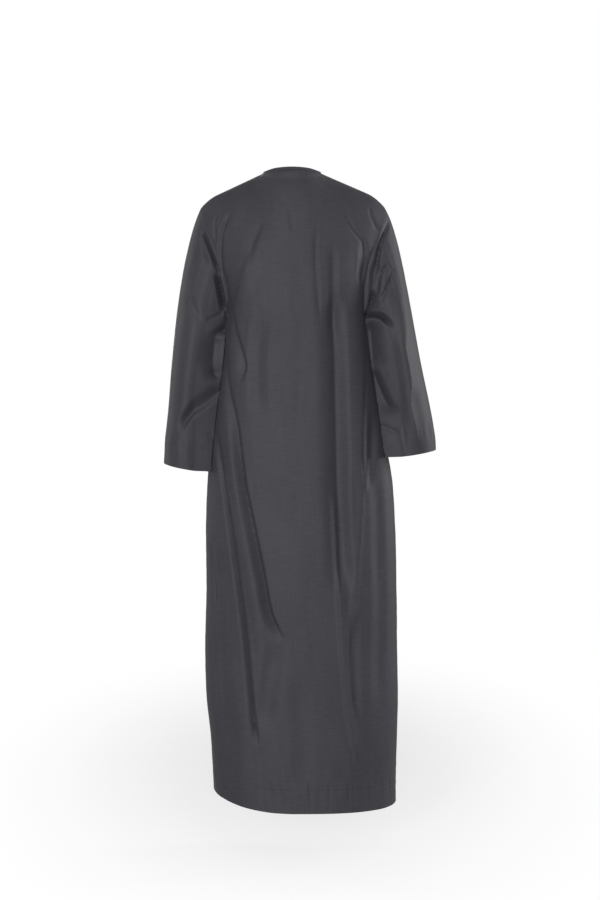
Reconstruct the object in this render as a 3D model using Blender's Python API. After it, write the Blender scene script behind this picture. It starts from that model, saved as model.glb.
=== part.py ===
"""A worn, collarless, ankle-length robe, built as the pieces that its maker cuts and sews.

Lengths are metres. +Z is up, the front of the robe faces -Y and its left side is +X.
The origin lies midway between the two side neck points, where the shoulders carry the robe.
Each piece is a thin wall: an outer skin worked out from sections and folds, and an inner
skin one cloth thickness behind it. Neighbours stop a hair's breadth apart at each seam.
"""

import bpy
import bmesh
import numpy as np
from mathutils import Vector

# cloth and seams
CLOTH = 0.0015
SEAM_GAP = 0.0003

# neck: the edge that the panels share, and the band that stands on it
NECK_HALF_WIDTH = 0.066
NECK_BACK_REACH = 0.060
NECK_FRONT_REACH = 0.076
NECK_SIDE_HEIGHT = -0.003
NECK_BACK_HEIGHT = 0.004
NECK_FRONT_HEIGHT = -0.052
BAND_HEIGHT = 0.0065
BAND_LEAN = 0.45

# shoulder seam, from the side neck point out to the shoulder tip
SHOULDER_SEAM_Y = -0.004
SHOULDER_SLOPE_LEFT = 0.465
SHOULDER_SLOPE_RIGHT = 0.430
SHOULDER_ROUND_FROM = 0.170
SHOULDER_ROUND = 9.0
SHOULDER_TIP_LEFT = 0.2075
SHOULDER_TIP_RIGHT = -0.2115

# heights that divide the robe
UNDERARM = -0.315
ELBOW = -0.420
HEM = -1.4445
HEM_LIFT = 0.030
HEM_LIFT_FROM = -0.020
HEM_LIFT_SPAN = 0.205
HEM_LIFT_POWER = 2.5
HEM_LIFT_STARTS = -1.180

# how far a panel runs back or forward off the shoulder before it turns down
BACK_REACH = 0.096
FRONT_REACH = 0.088
NECK_REACH_CUT = 0.052
SHOULDER_FALL = 0.22
NECK_FALL = 0.026
ARMHOLE_REACH_CUT = 0.036
ARMHOLE_FALL = 0.018
ARMHOLE_BULGE = 0.030
ARMHOLE_WIDTH = 2.4
# passes that ease the cloth between the neck corners and the shoulders
NECK_EASING = 4
TURN_HEIGHT = 0.105

# how finely each piece is divided
BACK_COLUMNS = (9, 8, 9)
FRONT_COLUMNS = (7, 8, 7)
GORE_COLUMNS = 5
UPPER_ROWS = 9
LOWER_ROWS = 28
SLEEVE_UPPER_ROWS = 7
SLEEVE_LOWER_ROWS = 8
# how far either side of a seam the cloth's slope is taken
SEAM_FEEL = 0.006

# body sections: height, left edge, right edge, back depth, front depth, squareness
BODY_SECTIONS = (
    (-0.280, 0.1490, -0.1640, 0.1215, -0.1170, 2.50),
    (-0.315, 0.1500, -0.1655, 0.1210, -0.1170, 2.50),
    (-0.400, 0.1560, -0.1750, 0.1180, -0.1180, 2.50),
    (-0.500, 0.1675, -0.1915, 0.1160, -0.1190, 2.45),
    (-0.600, 0.1840, -0.2110, 0.1165, -0.1200, 2.40),
    (-0.700, 0.1935, -0.2290, 0.1190, -0.1215, 2.35),
    (-0.800, 0.1975, -0.2360, 0.1220, -0.1230, 2.30),
    (-0.950, 0.1970, -0.2400, 0.1270, -0.1250, 2.30),
    (-1.100, 0.2005, -0.2420, 0.1310, -0.1280, 2.30),
    (-1.200, 0.1975, -0.2440, 0.1340, -0.1300, 2.30),
    (-1.300, 0.1885, -0.2420, 0.1370, -0.1320, 2.30),
    (-1.380, 0.1845, -0.2400, 0.1390, -0.1335, 2.30),
    (-1.460, 0.1810, -0.2400, 0.1400, -0.1345, 2.30),
)

# seams between the panels and the side gores, as x:
# height, back left, back right, front left, front right
GORE_SEAMS = (
    (-0.280, 0.1460, -0.1610, 0.1460, -0.1610),
    (-0.315, 0.1465, -0.1620, 0.1465, -0.1620),
    (-0.400, 0.1510, -0.1690, 0.1500, -0.1690),
    (-0.500, 0.1620, -0.1790, 0.1570, -0.1800),
    (-0.600, 0.1740, -0.1790, 0.1600, -0.1820),
    (-0.700, 0.1550, -0.1660, 0.1500, -0.1740),
    (-0.840, 0.1320, -0.1520, 0.1340, -0.1620),
    (-0.950, 0.1170, -0.1410, 0.1230, -0.1560),
    (-1.060, 0.1030, -0.1330, 0.1130, -0.1510),
    (-1.210, 0.0890, -0.1300, 0.1000, -0.1460),
    (-1.330, 0.0700, -0.1360, 0.0920, -0.1430),
    (-1.460, 0.0630, -0.1420, 0.0880, -0.1420),
)

# folds seen from behind and from the front: name, depth (minus for a trough), half width,
# and the path down the cloth as (x, z)
BACK_FOLDS = (
    ("seam fold, left", -0.0070, 0.020,
     ((0.174, -0.560), (0.154, -0.680), (0.132, -0.841), (0.103, -1.056), (0.089, -1.210))),
    ("hip roll, left", 0.0060, 0.022,
     ((0.158, -0.500), (0.136, -0.640), (0.114, -0.800), (0.083, -0.960), (0.063, -1.120))),
    ("long drag, left", -0.0100, 0.022,
     ((0.164, -0.407), (0.138, -0.514), (0.118, -0.619), (0.096, -0.742), (0.067, -0.879),
      (0.045, -0.995), (0.036, -1.100))),
    ("shoulder blade, left", -0.0050, 0.020,
     ((0.064, -0.120), (0.088, -0.190), (0.104, -0.240))),
    ("shoulder blade, right", -0.0055, 0.020,
     ((-0.058, -0.112), (-0.050, -0.160), (-0.053, -0.202), (-0.061, -0.258), (-0.069, -0.305))),
    ("long trough, right", -0.0105, 0.026,
     ((-0.096, -0.160), (-0.091, -0.288), (-0.091, -0.398), (-0.087, -0.510), (-0.090, -0.594),
      (-0.095, -0.682), (-0.104, -0.830))),
    ("long ridge, right", 0.0085, 0.024,
     ((-0.086, -0.720), (-0.099, -0.812), (-0.106, -0.940), (-0.117, -1.094), (-0.130, -1.210),
      (-0.148, -1.330))),
    ("side ridge, right", 0.0085, 0.020,
     ((-0.142, -0.200), (-0.154, -0.294), (-0.158, -0.392), (-0.157, -0.559), (-0.158, -0.673),
      (-0.160, -0.740))),
    ("seam fold, right", -0.0060, 0.020,
     ((-0.185, -0.520), (-0.180, -0.640), (-0.172, -0.760), (-0.158, -0.880), (-0.146, -1.020))),
    ("armpit drag, left", -0.0060, 0.020,
     ((0.138, -0.330), (0.118, -0.400), (0.108, -0.430), (0.116, -0.470))),
    ("outer hang, right", -0.0060, 0.026,
     ((-0.205, -0.760), (-0.207, -0.900), (-0.208, -1.080), (-0.206, -1.250))),
    ("outer hang, left", -0.0050, 0.026,
     ((0.165, -0.840), (0.160, -1.000), (0.155, -1.180), (0.146, -1.330))),
    ("hem hang, left", 0.0050, 0.030,
     ((0.110, -1.160), (0.112, -1.300), (0.112, -1.430))),
    ("hem hang, middle", -0.0050, 0.032,
     ((-0.010, -1.120), (-0.022, -1.260), (-0.030, -1.400))),
)
FRONT_FOLDS = (
    ("chest drag, left", -0.0060, 0.024,
     ((0.085, -0.200), (0.102, -0.330), (0.110, -0.480), (0.100, -0.640))),
    ("chest drag, right", -0.0065, 0.024,
     ((-0.095, -0.190), (-0.112, -0.320), (-0.122, -0.470), (-0.112, -0.660))),
    ("skirt ridge, left", 0.0080, 0.028,
     ((0.060, -0.560), (0.068, -0.760), (0.072, -1.000), (0.066, -1.240), (0.060, -1.400))),
    ("skirt ridge, right", 0.0080, 0.028,
     ((-0.072, -0.520), (-0.084, -0.760), (-0.092, -1.000), (-0.098, -1.220), (-0.104, -1.400))),
    ("skirt trough, middle", -0.0070, 0.032,
     ((-0.012, -0.640), (-0.016, -0.860), (-0.024, -1.100), (-0.030, -1.360))),
    ("outer trough, left", -0.0070, 0.026,
     ((0.138, -0.620), (0.132, -0.840), (0.126, -1.060), (0.120, -1.280))),
    ("outer trough, right", -0.0070, 0.026,
     ((-0.158, -0.640), (-0.166, -0.860), (-0.168, -1.080), (-0.164, -1.300))),
)

# sleeve sections: height, outer edge, inner edge, back depth, front depth
SLEEVE_SECTIONS = {
    "left": (
        (-0.400, 0.2710, 0.1540, 0.0740, -0.0790),
        (-0.450, 0.2760, 0.1630, 0.0710, -0.0790),
        (-0.540, 0.2830, 0.1780, 0.0660, -0.0780),
        (-0.610, 0.2905, 0.1900, 0.0630, -0.0760),
        (-0.680, 0.2945, 0.1940, 0.0610, -0.0740),
    ),
    "right": (
        (-0.400, -0.2870, -0.1720, 0.0740, -0.0790),
        (-0.450, -0.2965, -0.1800, 0.0720, -0.0790),
        (-0.540, -0.3150, -0.2000, 0.0680, -0.0780),
        (-0.600, -0.3260, -0.2120, 0.0650, -0.0770),
        (-0.680, -0.3300, -0.2250, 0.0620, -0.0750),
    ),
}
SLEEVE_SQUARENESS = 2.2
# cuff height at its outer and inner edge
CUFF_HEIGHTS = {"left": (-0.661, -0.680), "right": (-0.630, -0.647)}
SLEEVE_FLARE = 0.30
SLEEVE_TOP_PULL = 0.22
SLEEVE_ELBOW_PULL = 0.34
UNDERARM_CLEARANCE = 0.0006
SLEEVE_CLEARANCE = 0.0030

# sleeve folds, front and back alike: name, depth, half width, path as (x, z)
SLEEVE_FOLDS = {
    "left": (
        ("armpit drag", -0.0070, 0.018,
         ((0.202, -0.385), (0.184, -0.368), (0.166, -0.350), (0.150, -0.325))),
        ("upper arm crease", -0.0050, 0.018, ((0.228, -0.286), (0.217, -0.318), (0.198, -0.345))),
        ("elbow crease", -0.0055, 0.020, ((0.228, -0.392), (0.204, -0.441), (0.184, -0.472))),
        ("forearm drag", -0.0060, 0.022,
         ((0.176, -0.500), (0.200, -0.524), (0.226, -0.554), (0.256, -0.580))),
    ),
    "right": (
        ("armpit drag", -0.0080, 0.018,
         ((-0.166, -0.324), (-0.195, -0.324), (-0.212, -0.332), (-0.232, -0.354))),
        ("upper arm crease", -0.0050, 0.018,
         ((-0.218, -0.210), (-0.204, -0.215), (-0.193, -0.246), (-0.190, -0.284))),
        ("elbow crease", -0.0055, 0.020, ((-0.174, -0.356), (-0.195, -0.389), (-0.206, -0.430))),
        ("forearm drag", -0.0060, 0.022, ((-0.196, -0.435), (-0.212, -0.512), (-0.242, -0.566))),
        ("outer ridge", 0.0050, 0.022,
         ((-0.240, -0.200), (-0.252, -0.270), (-0.262, -0.389), (-0.270, -0.476), (-0.281, -0.563))),
    ),
}

# front placket and its buttons, laid on the front panel
PLACKET_HALF_COLUMNS = 1
PLACKET_ROWS = 10
BUTTON_RADIUS = 0.0055
BUTTON_THICKNESS = 0.0024
BUTTON_ROWS = (2, 4, 6, 8)

# finishes: base colour, roughness
CLOTH_COLOUR = (0.068, 0.066, 0.075)
CLOTH_ROUGHNESS = 0.85
BUTTON_COLOUR = (0.030, 0.030, 0.034)
BUTTON_ROUGHNESS = 0.40


def smooth_through(table, at):
    """Each column of a table of heights, at the heights given, on a smooth curve."""
    rows = np.array(table, float)[::-1]
    heights = rows[:, 0]
    at = np.atleast_1d(np.asarray(at, float))
    found = []
    for values in rows[:, 1:].T:
        slopes = np.gradient(values, heights)
        k = np.clip(np.searchsorted(heights, at) - 1, 0, len(heights) - 2)
        span = heights[k + 1] - heights[k]
        t = np.clip((at - heights[k]) / span, 0.0, 1.0)
        found.append(
            (2 * t**3 - 3 * t**2 + 1) * values[k]
            + (t**3 - 2 * t**2 + t) * span * slopes[k]
            + (3 * t**2 - 2 * t**3) * values[k + 1]
            + (t**3 - t**2) * span * slopes[k + 1]
        )
    return found


def smooth_step(low, high, value):
    t = np.clip((value - low) / (high - low), 0.0, 1.0)
    return t * t * (3.0 - 2.0 * t)


def signed_power(value, power):
    return np.sign(value) * np.abs(value) ** power


def section_point(section, angle):
    """Point of a body section. Angle 0 is the left side, a quarter turn on is the back."""
    left, right, back, front, square = section
    middle = (left + right) / 2
    half = (left - right) / 2
    x = middle + half * signed_power(np.cos(angle), 2 / square)
    depth = np.where(np.sin(angle) >= 0, back, -front)
    return x, depth * signed_power(np.sin(angle), 2 / square)


def seam_angle(section, x, front):
    """Angle at which a section passes the given x, on its back or front half."""
    left, right, back, front_depth, square = section
    middle = (left + right) / 2
    half = (left - right) / 2
    ratio = np.clip((x - middle) / half, -1.0, 1.0)
    angle = np.arccos(signed_power(ratio, square / 2))
    return 2 * np.pi - angle if front else angle


def ring_run(height, start, end, columns):
    """Evenly spaced points of one body ring between two seams, then two points for each seam,
    one either side of it, which give both of its pieces the same slope there."""
    section = [column[0] for column in smooth_through(BODY_SECTIONS, height)]
    spare = 0.3
    angles = np.linspace(start - spare, end + spare, 400)
    x, y = section_point(section, angles)
    lengths = np.concatenate(([0.0], np.cumsum(np.hypot(np.diff(x), np.diff(y)))))
    first, last = np.interp((start, end), angles, lengths)
    places = np.linspace(first + SEAM_GAP / 2, last - SEAM_GAP / 2, columns + 1)
    feelers = (first - SEAM_FEEL, first + SEAM_FEEL, last - SEAM_FEEL, last + SEAM_FEEL)
    places = np.concatenate([places, feelers])
    return np.stack(
        [np.interp(places, lengths, x), np.interp(places, lengths, y), np.full(len(places), height)],
        axis=1,
    )


def panel_angles(height, piece):
    """The two seam angles of a piece at a height, in the order that its columns run.
    Each side has a gore towards the back and one towards the front, joined at the side seam."""
    section = [column[0] for column in smooth_through(BODY_SECTIONS, height)]
    back_left, back_right, front_left, front_right = (
        seam_angle(section, column[0], front)
        for column, front in zip(smooth_through(GORE_SEAMS, height), (False, False, True, True))
    )
    return {
        "back": (back_left, back_right),
        "gore_right_back": (back_right, np.pi),
        "gore_right_front": (np.pi, front_right),
        "front": (front_right, front_left),
        "gore_left_front": (front_left - 2 * np.pi, 0.0),
        "gore_left_back": (0.0, back_left),
    }[piece]


def lower_rows(piece, columns):
    """Rings of a piece from the underarm to the hem, which rises a little at the left side."""
    rows = []
    for height in np.linspace(UNDERARM, HEM, LOWER_ROWS + 1):
        start, end = panel_angles(height, piece)
        row = ring_run(height, start, end, columns)
        aside = np.clip((row[:, 0] - HEM_LIFT_FROM) / HEM_LIFT_SPAN, 0.0, 1.2)
        row[:, 2] += HEM_LIFT * aside**HEM_LIFT_POWER * smooth_step(HEM_LIFT_STARTS, HEM, height)
        rows.append(row)
    return np.array(rows)


def shoulder_height(x):
    out = np.abs(x)
    slope = np.where(x > 0, SHOULDER_SLOPE_LEFT, SHOULDER_SLOPE_RIGHT)
    rounding = SHOULDER_ROUND * np.maximum(out - SHOULDER_ROUND_FROM, 0.0) ** 2
    return NECK_SIDE_HEIGHT - slope * (out - NECK_HALF_WIDTH) - rounding


def neck_edge(angle, front):
    """Point of the panels' neck edge. Angle 0 is the left corner, half a turn the right one."""
    away = np.sin(angle)
    x = NECK_HALF_WIDTH * np.cos(angle)
    if front:
        y = SHOULDER_SEAM_Y - NECK_FRONT_REACH * away
        z = NECK_SIDE_HEIGHT + (NECK_FRONT_HEIGHT - NECK_SIDE_HEIGHT) * away**1.6
    else:
        y = SHOULDER_SEAM_Y + NECK_BACK_REACH * away
        z = NECK_SIDE_HEIGHT + (NECK_BACK_HEIGHT - NECK_SIDE_HEIGHT) * away**2
    return np.array((x, y, z))


def top_edge(columns, front):
    """Shoulder seam, neck edge and shoulder seam of a panel, in the order of its columns."""
    first_shoulder, neck, second_shoulder = columns
    edge = []
    for x in np.linspace(SHOULDER_TIP_LEFT, NECK_HALF_WIDTH, first_shoulder + 1)[:-1]:
        edge.append((x, SHOULDER_SEAM_Y, shoulder_height(x)))
    for angle in np.linspace(0.0, np.pi, neck + 1):
        edge.append(neck_edge(angle, front))
    for x in np.linspace(-NECK_HALF_WIDTH, SHOULDER_TIP_RIGHT, second_shoulder + 1)[1:]:
        edge.append((x, SHOULDER_SEAM_Y, shoulder_height(x)))
    edge = np.array(edge, float)
    edge[:, 1] += (-1 if front else 1) * SEAM_GAP / 2
    return edge[::-1] if front else edge


def upper_rows(lower, columns, front):
    """Rows of a panel from its top edge to the underarm, each column a curve over the shoulder."""
    edge = top_edge(columns, front)
    low = lower[0, :-4]
    rise = low - lower[1, :-4]
    rise /= np.linalg.norm(rise, axis=1, keepdims=True)
    side = -1.0 if front else 1.0
    count = len(edge)
    from_armhole = np.minimum(np.arange(count), np.arange(count)[::-1])
    near_armhole = np.exp(-((from_armhole / ARMHOLE_WIDTH) ** 2))
    deep = NECK_FRONT_REACH if front else NECK_BACK_REACH
    near_neck = np.clip(side * (edge[:, 1] - SHOULDER_SEAM_Y) / deep, 0.0, 1.0)
    reach = (FRONT_REACH if front else BACK_REACH) - NECK_REACH_CUT * near_neck
    reach = reach - ARMHOLE_REACH_CUT * near_armhole
    fall = SHOULDER_FALL * reach + NECK_FALL * near_neck + ARMHOLE_FALL * near_armhole
    out = edge + np.stack([np.zeros(count), side * reach, -fall], axis=1)
    turn = low + TURN_HEIGHT * rise
    turn[:, 1] += side * ARMHOLE_BULGE * near_armhole
    rows = []
    for t in np.linspace(0.0, 1.0, UPPER_ROWS + 1)[:-1]:
        row = (1 - t) ** 3 * edge + 3 * t * (1 - t) ** 2 * out
        row = row + 3 * t**2 * (1 - t) * turn + t**3 * low
        for _pass in range(NECK_EASING if t > 0 else 0):
            row[1:-1] = (row[:-2] + 2 * row[1:-1] + row[2:]) / 4
        feelers = (2 * row[0] - row[1], row[1], row[-2], 2 * row[-1] - row[-2])
        rows.append(np.vstack([row, *feelers]))
    return np.array(rows)


def facing(grid, closed):
    """Outward unit normals of a grid whose rows run down and columns run left, back, right.
    The last four columns of an open grid are the points either side of its two seams."""
    down = np.gradient(grid, axis=0)
    if closed:
        along = np.roll(grid, -1, axis=1) - np.roll(grid, 1, axis=1)
    else:
        first, last = grid[:, -3] - grid[:, -4], grid[:, -1] - grid[:, -2]
        along = np.gradient(grid, axis=1)
        along[:, 0] = along[:, -4] = along[:, -3] = first
        along[:, -5] = along[:, -2] = along[:, -1] = last
        down[:, -4] = down[:, -3] = down[:, 0]
        down[:, -2] = down[:, -1] = down[:, -5]
    normal = np.cross(down, along)
    return normal / np.linalg.norm(normal, axis=2, keepdims=True)


def fold_path(points, steps=6):
    """A fold's few points joined by a smooth curve."""
    points = np.array(points, float)
    index = np.arange(len(points))
    slopes = np.gradient(points, axis=0)
    at = np.linspace(0, len(points) - 1, steps * (len(points) - 1) + 1)
    k = np.clip(at.astype(int), 0, len(points) - 2)
    t = (at - index[k])[:, None]
    return (
        (2 * t**3 - 3 * t**2 + 1) * points[k]
        + (t**3 - 2 * t**2 + t) * slopes[k]
        + (3 * t**2 - 2 * t**3) * points[k + 1]
        + (t**3 - t**2) * slopes[k + 1]
    )


def fold_depth(grid, folds, fade=0.3):
    """How far the folds push each point out, from its distance to each path seen face on."""
    flat = grid[..., (0, 2)]
    total = np.zeros(grid.shape[:2])
    for _name, depth, half_width, points in folds:
        path = fold_path(points)
        nearest = np.full(total.shape, np.inf)
        place = np.zeros(total.shape)
        for k in range(len(path) - 1):
            run = path[k + 1] - path[k]
            t = np.clip(((flat - path[k]) @ run) / (run @ run), 0.0, 1.0)
            away = np.linalg.norm(flat - path[k] - t[..., None] * run, axis=2)
            closer = away < nearest
            nearest = np.where(closer, away, nearest)
            place = np.where(closer, (k + t) / (len(path) - 1), place)
        shape = np.clip(1 - (nearest / half_width) ** 2, 0.0, 1.0) ** 2
        ends = smooth_step(0.0, fade, place) * smooth_step(0.0, fade, 1 - place)
        total += depth * shape * ends
    return total


def add_folds(grid, closed=False, sleeve=None):
    """The grid pushed in and out along its own normals by the folds of its side."""
    normal = facing(grid, closed)
    if sleeve:
        towards = np.clip(np.abs(normal[..., 1]) * 1.6, 0.0, 1.0)
        depth = fold_depth(grid, SLEEVE_FOLDS[sleeve]) * towards
    else:
        behind = np.clip(normal[..., 1] * 1.6, 0.0, 1.0)
        before = np.clip(-normal[..., 1] * 1.6, 0.0, 1.0)
        depth = fold_depth(grid, BACK_FOLDS) * behind + fold_depth(grid, FRONT_FOLDS) * before
    return grid + normal * depth[..., None]


def body_grid(piece, columns):
    """Outer skin and normals of a body piece, folds and all."""
    if piece in ("back", "front"):
        lower = lower_rows(piece, sum(columns))
        front = piece == "front"
        grid = np.vstack([upper_rows(lower, columns, front), lower])
    else:
        grid = lower_rows(piece, columns)
    grid = add_folds(grid)
    normal = facing(grid, False)[:, :-4]
    grid = grid[:, :-4]
    if piece in ("back", "front"):
        # at the seams the wall is set back squarely, so that neighbours can't meet inside
        normal[0, :, 1] = 0.0
        normal[:UPPER_ROWS, 0 if piece == "back" else -1, 0] = np.maximum(
            normal[:UPPER_ROWS, 0 if piece == "back" else -1, 0], 0.0
        )
        normal[:UPPER_ROWS, -1 if piece == "back" else 0, 0] = np.minimum(
            normal[:UPPER_ROWS, -1 if piece == "back" else 0, 0], 0.0
        )
    normal /= np.linalg.norm(normal, axis=2, keepdims=True)
    return grid, normal


def armhole_loop(side, back, front, gore_back, gore_front):
    """Armhole edge from the shoulder tip down the back, under the arm and up the front."""
    if side == "left":
        back_edge = back[: UPPER_ROWS + 1, 0]
        front_edge = front[: UPPER_ROWS + 1, -1]
        under = np.vstack([gore_back[0, ::-1], gore_front[0, ::-1][1:]])
    else:
        back_edge = back[: UPPER_ROWS + 1, -1]
        front_edge = front[: UPPER_ROWS + 1, 0]
        under = np.vstack([gore_back[0], gore_front[0, 1:]])
    return np.vstack([back_edge, under[1:-1], front_edge[::-1][:-1]])


def sleeve_ring(side, height, fractions):
    """Points of a sleeve section at the given fractions round it, from its outer side back."""
    outer, inner, back, front = (
        column[0] for column in smooth_through(SLEEVE_SECTIONS[side], height)
    )
    angles = np.linspace(0.0, 2 * np.pi, 401)
    x = (outer + inner) / 2 + (outer - inner) / 2 * signed_power(np.cos(angles), 2 / SLEEVE_SQUARENESS)
    y = (back + front) / 2 + (back - front) / 2 * signed_power(np.sin(angles), 2 / SLEEVE_SQUARENESS)
    lengths = np.concatenate(([0.0], np.cumsum(np.hypot(np.diff(x), np.diff(y)))))
    places = np.asarray(fractions) * lengths[-1]
    return np.stack(
        [np.interp(places, lengths, x), np.interp(places, lengths, y), np.full(len(places), height)],
        axis=1,
    )


def clear_of_body(grid, side):
    """The sleeve moved out, where it would touch, to lie just clear of the body's side."""
    sign = 1.0 if side == "left" else -1.0
    moved = grid.copy()
    left, right, back, front, square = smooth_through(BODY_SECTIONS, grid[..., 2].ravel())
    shape = grid.shape[:2]
    middle = ((left + right) / 2).reshape(shape)
    half = ((left - right) / 2).reshape(shape)
    depth = np.where(grid[..., 1] >= 0, back.reshape(shape), -front.reshape(shape))
    square = square.reshape(shape)
    share = np.clip(np.abs(grid[..., 1]) / depth, 0.0, 1.0)
    edge = half * (1 - share**square) ** (1 / square)
    below = smooth_step(UNDERARM, UNDERARM - 0.09, grid[..., 2])
    clearance = UNDERARM_CLEARANCE + (SLEEVE_CLEARANCE - UNDERARM_CLEARANCE) * below
    limit = middle * sign + edge + clearance
    under = grid[..., 2] < UNDERARM + 0.02
    moved[..., 0] = np.where(under, sign * np.maximum(sign * grid[..., 0], limit), grid[..., 0])
    return moved


def sleeve_grid(side, loop):
    """Outer skin and normals of a sleeve, from its armhole to its cuff."""
    sign = 1.0 if side == "left" else -1.0
    steps = np.linalg.norm(np.diff(np.vstack([loop, loop[:1]]), axis=0), axis=1)
    fractions = np.concatenate(([0.0], np.cumsum(steps)[:-1])) / steps.sum()
    start = loop + np.array((sign * SEAM_GAP, 0.0, 0.0))
    elbow = sleeve_ring(side, ELBOW, fractions)
    rise = elbow - sleeve_ring(side, ELBOW - 0.03, fractions)
    rise /= np.linalg.norm(rise, axis=1, keepdims=True)
    run = elbow - start
    length = np.linalg.norm(run, axis=1, keepdims=True)
    outward = SLEEVE_FLARE * (0.5 + 0.5 * np.cos(2 * np.pi * fractions))
    lead = run / length + np.stack([sign * outward, 0 * outward, 0 * outward], axis=1)
    lead /= np.linalg.norm(lead, axis=1, keepdims=True)
    out = start + SLEEVE_TOP_PULL * length * lead
    turn = elbow + SLEEVE_ELBOW_PULL * length * rise
    rows = []
    for t in np.linspace(0.0, 1.0, SLEEVE_UPPER_ROWS + 1)[:-1]:
        row = (1 - t) ** 3 * start + 3 * t * (1 - t) ** 2 * out
        rows.append(row + 3 * t**2 * (1 - t) * turn + t**3 * elbow)
    cuff_outer, cuff_inner = CUFF_HEIGHTS[side]
    for t in np.linspace(0.0, 1.0, SLEEVE_LOWER_ROWS + 1):
        ring = sleeve_ring(side, ELBOW + t * ((cuff_outer + cuff_inner) / 2 - ELBOW), fractions)
        x = sign * ring[:, 0]
        share = (x.max() - x) / (x.max() - x.min())
        cuff = cuff_outer + (cuff_inner - cuff_outer) * share
        ring[:, 2] = ELBOW + t * (cuff - ELBOW)
        rows.append(ring)
    grid = np.array(rows)
    if side == "right":
        grid = grid[:, ::-1]
    grid = np.concatenate([grid[:1], add_folds(grid, closed=True, sleeve=side)[1:]])
    grid = clear_of_body(grid, side)
    normal = facing(grid, closed=True)
    normal[0, :, 0] = sign * np.minimum(sign * normal[0, :, 0], 0.0)
    normal /= np.linalg.norm(normal, axis=2, keepdims=True)
    return grid, normal


def add_object(name, mesh, material, smooth=True):
    if smooth:
        mesh.shade_smooth()
        mesh.set_sharp_from_angle(angle=np.radians(60))
    mesh.materials.append(material)
    piece = bpy.data.objects.new(name, mesh)
    bpy.context.scene.collection.objects.link(piece)
    return piece


def add_wall(name, outer, inner, closed, material):
    """One closed body between two grids of points."""
    rows, columns = outer.shape[:2]
    shell = bmesh.new()
    skins = []
    for grid in (outer, inner):
        skins.append([[shell.verts.new(point) for point in row] for row in grid])
    out, back = skins
    last = columns if closed else columns - 1
    for j in range(rows - 1):
        for i in range(last):
            k = (i + 1) % columns
            shell.faces.new((out[j][i], out[j + 1][i], out[j + 1][k], out[j][k]))
            shell.faces.new((back[j][i], back[j][k], back[j + 1][k], back[j + 1][i]))
    for i in range(last):
        k = (i + 1) % columns
        shell.faces.new((out[0][i], out[0][k], back[0][k], back[0][i]))
        shell.faces.new((out[-1][i], back[-1][i], back[-1][k], out[-1][k]))
    if not closed:
        for j in range(rows - 1):
            shell.faces.new((out[j][0], back[j][0], back[j + 1][0], out[j + 1][0]))
            shell.faces.new((out[j][-1], out[j + 1][-1], back[j + 1][-1], back[j][-1]))
    bmesh.ops.recalc_face_normals(shell, faces=shell.faces)
    bmesh.ops.triangulate(shell, faces=shell.faces)
    mesh = bpy.data.meshes.new(name)
    shell.to_mesh(mesh)
    shell.free()
    return add_object(name, mesh, material)


def add_cloth(name, outer, normal, material, closed=False):
    return add_wall(name, outer, outer - CLOTH * normal, closed, material)


def add_neck_band(back, front, material):
    """A narrow band that stands on the neck edge, open at the middle of the front."""
    first, neck, _last = BACK_COLUMNS
    behind = back[0, first:first + neck + 1]
    first, neck, _last = FRONT_COLUMNS
    before = front[0, first:first + neck + 1]
    middle = neck // 2
    loop = np.vstack([before[middle:], behind[1:-1], before[: middle + 1]])
    loop[0, 0] += SEAM_GAP
    loop[-1, 0] -= SEAM_GAP
    inward = -loop * np.array((1.0, 1.0, 0.0))
    inward[:, 1] += SHOULDER_SEAM_Y
    inward /= np.linalg.norm(inward, axis=1, keepdims=True)
    up = inward * BAND_LEAN + np.array((0.0, 0.0, 1.0))
    up /= np.linalg.norm(up, axis=1, keepdims=True)
    away = -inward + BAND_LEAN * np.array((0.0, 0.0, 1.0))
    away /= np.linalg.norm(away, axis=1, keepdims=True)
    foot = loop + SEAM_GAP * up
    outer = np.array([foot + BAND_HEIGHT * share * up for share in (1.0, 0.5, 0.0)])
    return add_wall("neck_band", outer, outer - CLOTH * away, False, material)


def add_placket(front, normal, material):
    """A plain strip down the middle of the front, made from the panel's own points."""
    middle = sum(FRONT_COLUMNS) // 2
    span = slice(middle - PLACKET_HALF_COLUMNS, middle + PLACKET_HALF_COLUMNS + 1)
    under = front[: PLACKET_ROWS + 1, span] + SEAM_GAP * normal[: PLACKET_ROWS + 1, span]
    out = normal[: PLACKET_ROWS + 1, span]
    outer = under + CLOTH * out
    add_wall("placket", outer, under, False, material)
    return outer[:, PLACKET_HALF_COLUMNS], out[:, PLACKET_HALF_COLUMNS]


def add_button(name, centre, normal, material):
    disc = bmesh.new()
    bmesh.ops.create_cone(
        disc, cap_ends=True, segments=16, radius1=BUTTON_RADIUS, radius2=BUTTON_RADIUS,
        depth=BUTTON_THICKNESS,
    )
    rims = [edge for edge in disc.edges if edge.calc_face_angle(0.0) > 1.0]
    bmesh.ops.bevel(disc, geom=rims, offset=BUTTON_THICKNESS * 0.25, segments=1, affect="EDGES")
    mesh = bpy.data.meshes.new(name)
    disc.to_mesh(mesh)
    disc.free()
    button = add_object(name, mesh, material)
    button.rotation_mode = "QUATERNION"
    button.rotation_quaternion = Vector(normal).to_track_quat("Z", "Y")
    button.location = Vector(centre) + (SEAM_GAP + BUTTON_THICKNESS / 2) * Vector(normal)
    return button


def finish_of(name, colour, roughness):
    material = bpy.data.materials.new(name)
    material.use_nodes = True
    shader = material.node_tree.nodes["Principled BSDF"]
    shader.inputs["Base Color"].default_value = (*colour, 1.0)
    shader.inputs["Roughness"].default_value = roughness
    shader.inputs["Metallic"].default_value = 0.0
    material.diffuse_color = (*colour, 1.0)
    return material


for leftover in list(bpy.data.objects):
    bpy.data.objects.remove(leftover, do_unlink=True)

back, back_normal = body_grid("back", BACK_COLUMNS)
front, front_normal = body_grid("front", FRONT_COLUMNS)

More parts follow.
